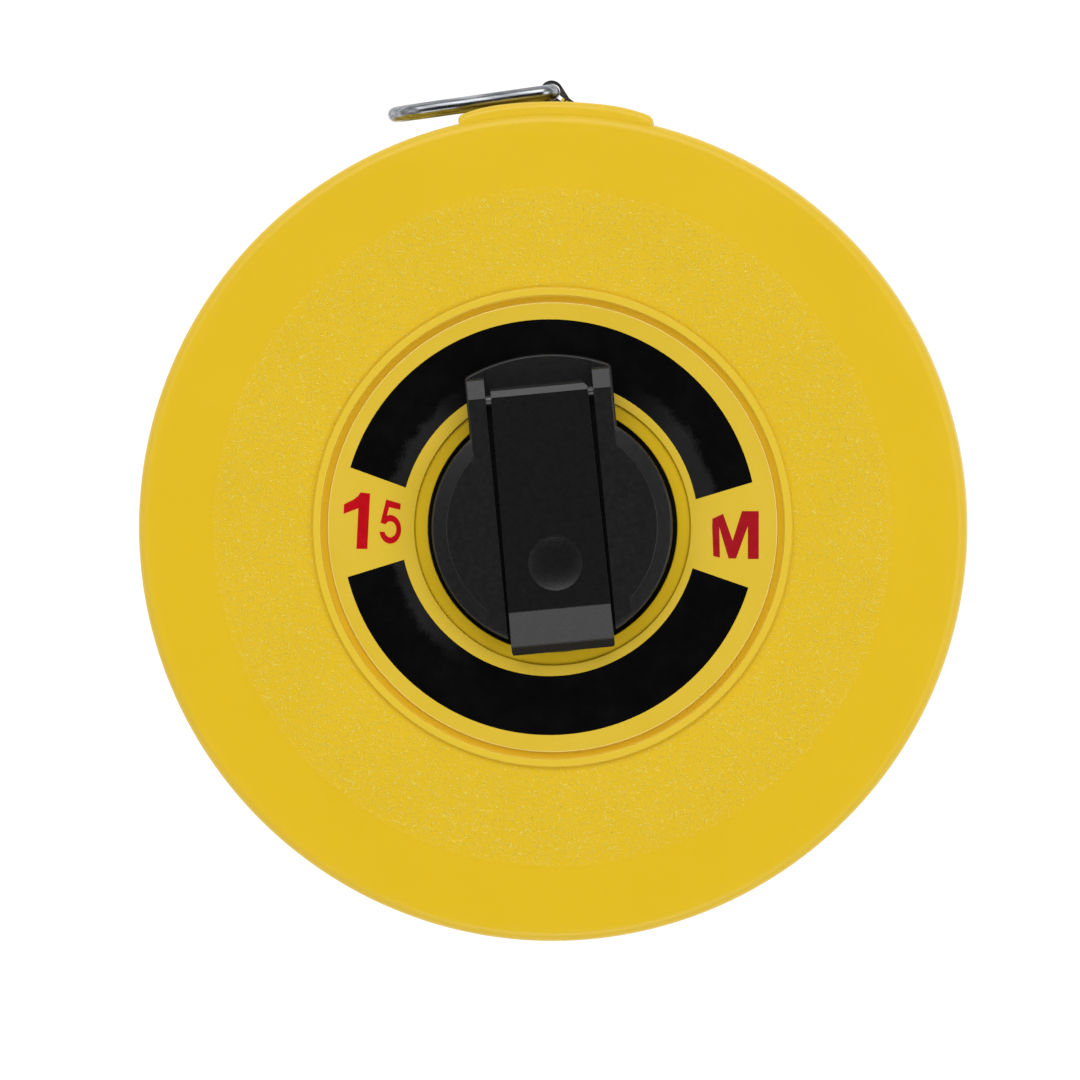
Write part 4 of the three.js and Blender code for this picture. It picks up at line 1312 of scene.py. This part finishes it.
def add_shells():
    place(front_shell(), "shell_yellow", "housing", stands_for=["front_shell"])
    place(rear_shell(), "shell_yellow", "housing", stands_for=["rear_shell"])


def carry_over(node, look):
    """Keeps a CAD piece and gives it its material."""
    obj = frame["nodes"][node]
    obj.data.materials.clear()
    obj.data.materials.append(LOOKS[look])


def floor_look():
    """A floor that is white by its own glow and takes only a faint shadow."""
    look = Look("floor_white", 0.8)
    look.tint((0.15, 0.15, 0.15), (0.16, 0.16, 0.16), 200)
    look.set("Emission Color", (1, 1, 1, 1))
    look.set("Emission Strength", 0.93)
    return look.material


def add_floor():
    low = (-FLOOR_HALF, -FLOOR_HALF, -FLOOR_THICK)
    floor = block("floor", low, (FLOOR_HALF, FLOOR_HALF, 0))
    floor.data.materials.append(floor_look())


def add_room():
    """A room that is dark overhead and pale from the height of the lights down."""
    world = bpy.data.worlds.new("studio")
    world.use_nodes = True
    nodes, links = world.node_tree.nodes, world.node_tree.links
    split = nodes.new("ShaderNodeSeparateXYZ")
    height = nodes.new("ShaderNodeMapRange")
    height.inputs["From Min"].default_value = PALE_TOP
    height.inputs["From Max"].default_value = PALE_FOOT
    height.inputs["To Min"].default_value = ROOM_OVERHEAD
    height.inputs["To Max"].default_value = ROOM_HORIZON
    links.new(nodes.new("ShaderNodeTexCoord").outputs["Generated"], split.inputs[0])
    links.new(split.outputs["Z"], height.inputs["Value"])
    links.new(height.outputs[0], nodes["Background"].inputs["Strength"])
    nodes["Background"].inputs["Color"].default_value = (1, 1, 1, 1)
    bpy.context.scene.world = world


def add_lights():
    """A large soft key light from beyond the mouth, and soft fill lights round the rest."""
    for name, size, power, (azimuth, elevation, distance) in SOFTBOXES:
        light = bpy.data.lights.new(name, "AREA")
        light.shape = "RECTANGLE"
        light.size, light.size_y = size
        light.energy = power
        lamp = bpy.data.objects.new(name, light)
        x, y = polar(distance * math.cos(math.radians(elevation)), azimuth)
        lamp.location = (x, y, distance * math.sin(math.radians(elevation)))
        aim = Vector((0, 0, 0.02)) - lamp.location
        lamp.rotation_euler = aim.to_track_quat("-Z", "Y").to_euler()
        bpy.context.scene.collection.objects.link(lamp)


def set_colours():
    """Plain display colours, with no filmic curve."""
    view = bpy.context.scene.view_settings
    view.view_transform = "Standard"
    view.look = "None"


def add_camera():
    """A long lens looking down on the crank side, a little from the right and above."""
    data = bpy.data.cameras.new("camera")
    data.sensor_width = 36
    data.lens = 36 * CAMERA_DISTANCE / VIEW_WIDTH
    data.clip_end = 10
    camera = bpy.data.objects.new("camera", data)
    target = Vector((CAMERA_AIM[0] * MM, CAMERA_AIM[1] * MM, CAMERA_AIM[2] * MM))
    side, lift = (math.tan(math.radians(a)) for a in CAMERA_TILT)
    direction = Vector((side, lift, 1)).normalized()
    camera.location = target + direction * CAMERA_DISTANCE * MM
    back = direction
    across = Vector((0, 1, 0)).cross(back).normalized()
    up = back.cross(across)
    camera.rotation_euler = Matrix((across, up, back)).transposed().to_euler()
    bpy.context.scene.collection.objects.link(camera)
    bpy.context.scene.camera = camera


add_shells()
add_labels()
add_screws()
add_crank()
add_tape_end()
carry_over("spool_drum", "spool_white")
carry_over("spool_front_flange", "hub_black")
for node in ("tape_coil", "tape_lead"):
    carry_over(node, "tape_film")
carry_over("tape_anchor_pin", "fastener_steel")
add_floor()
add_room()
add_lights()
add_camera()
set_colours()
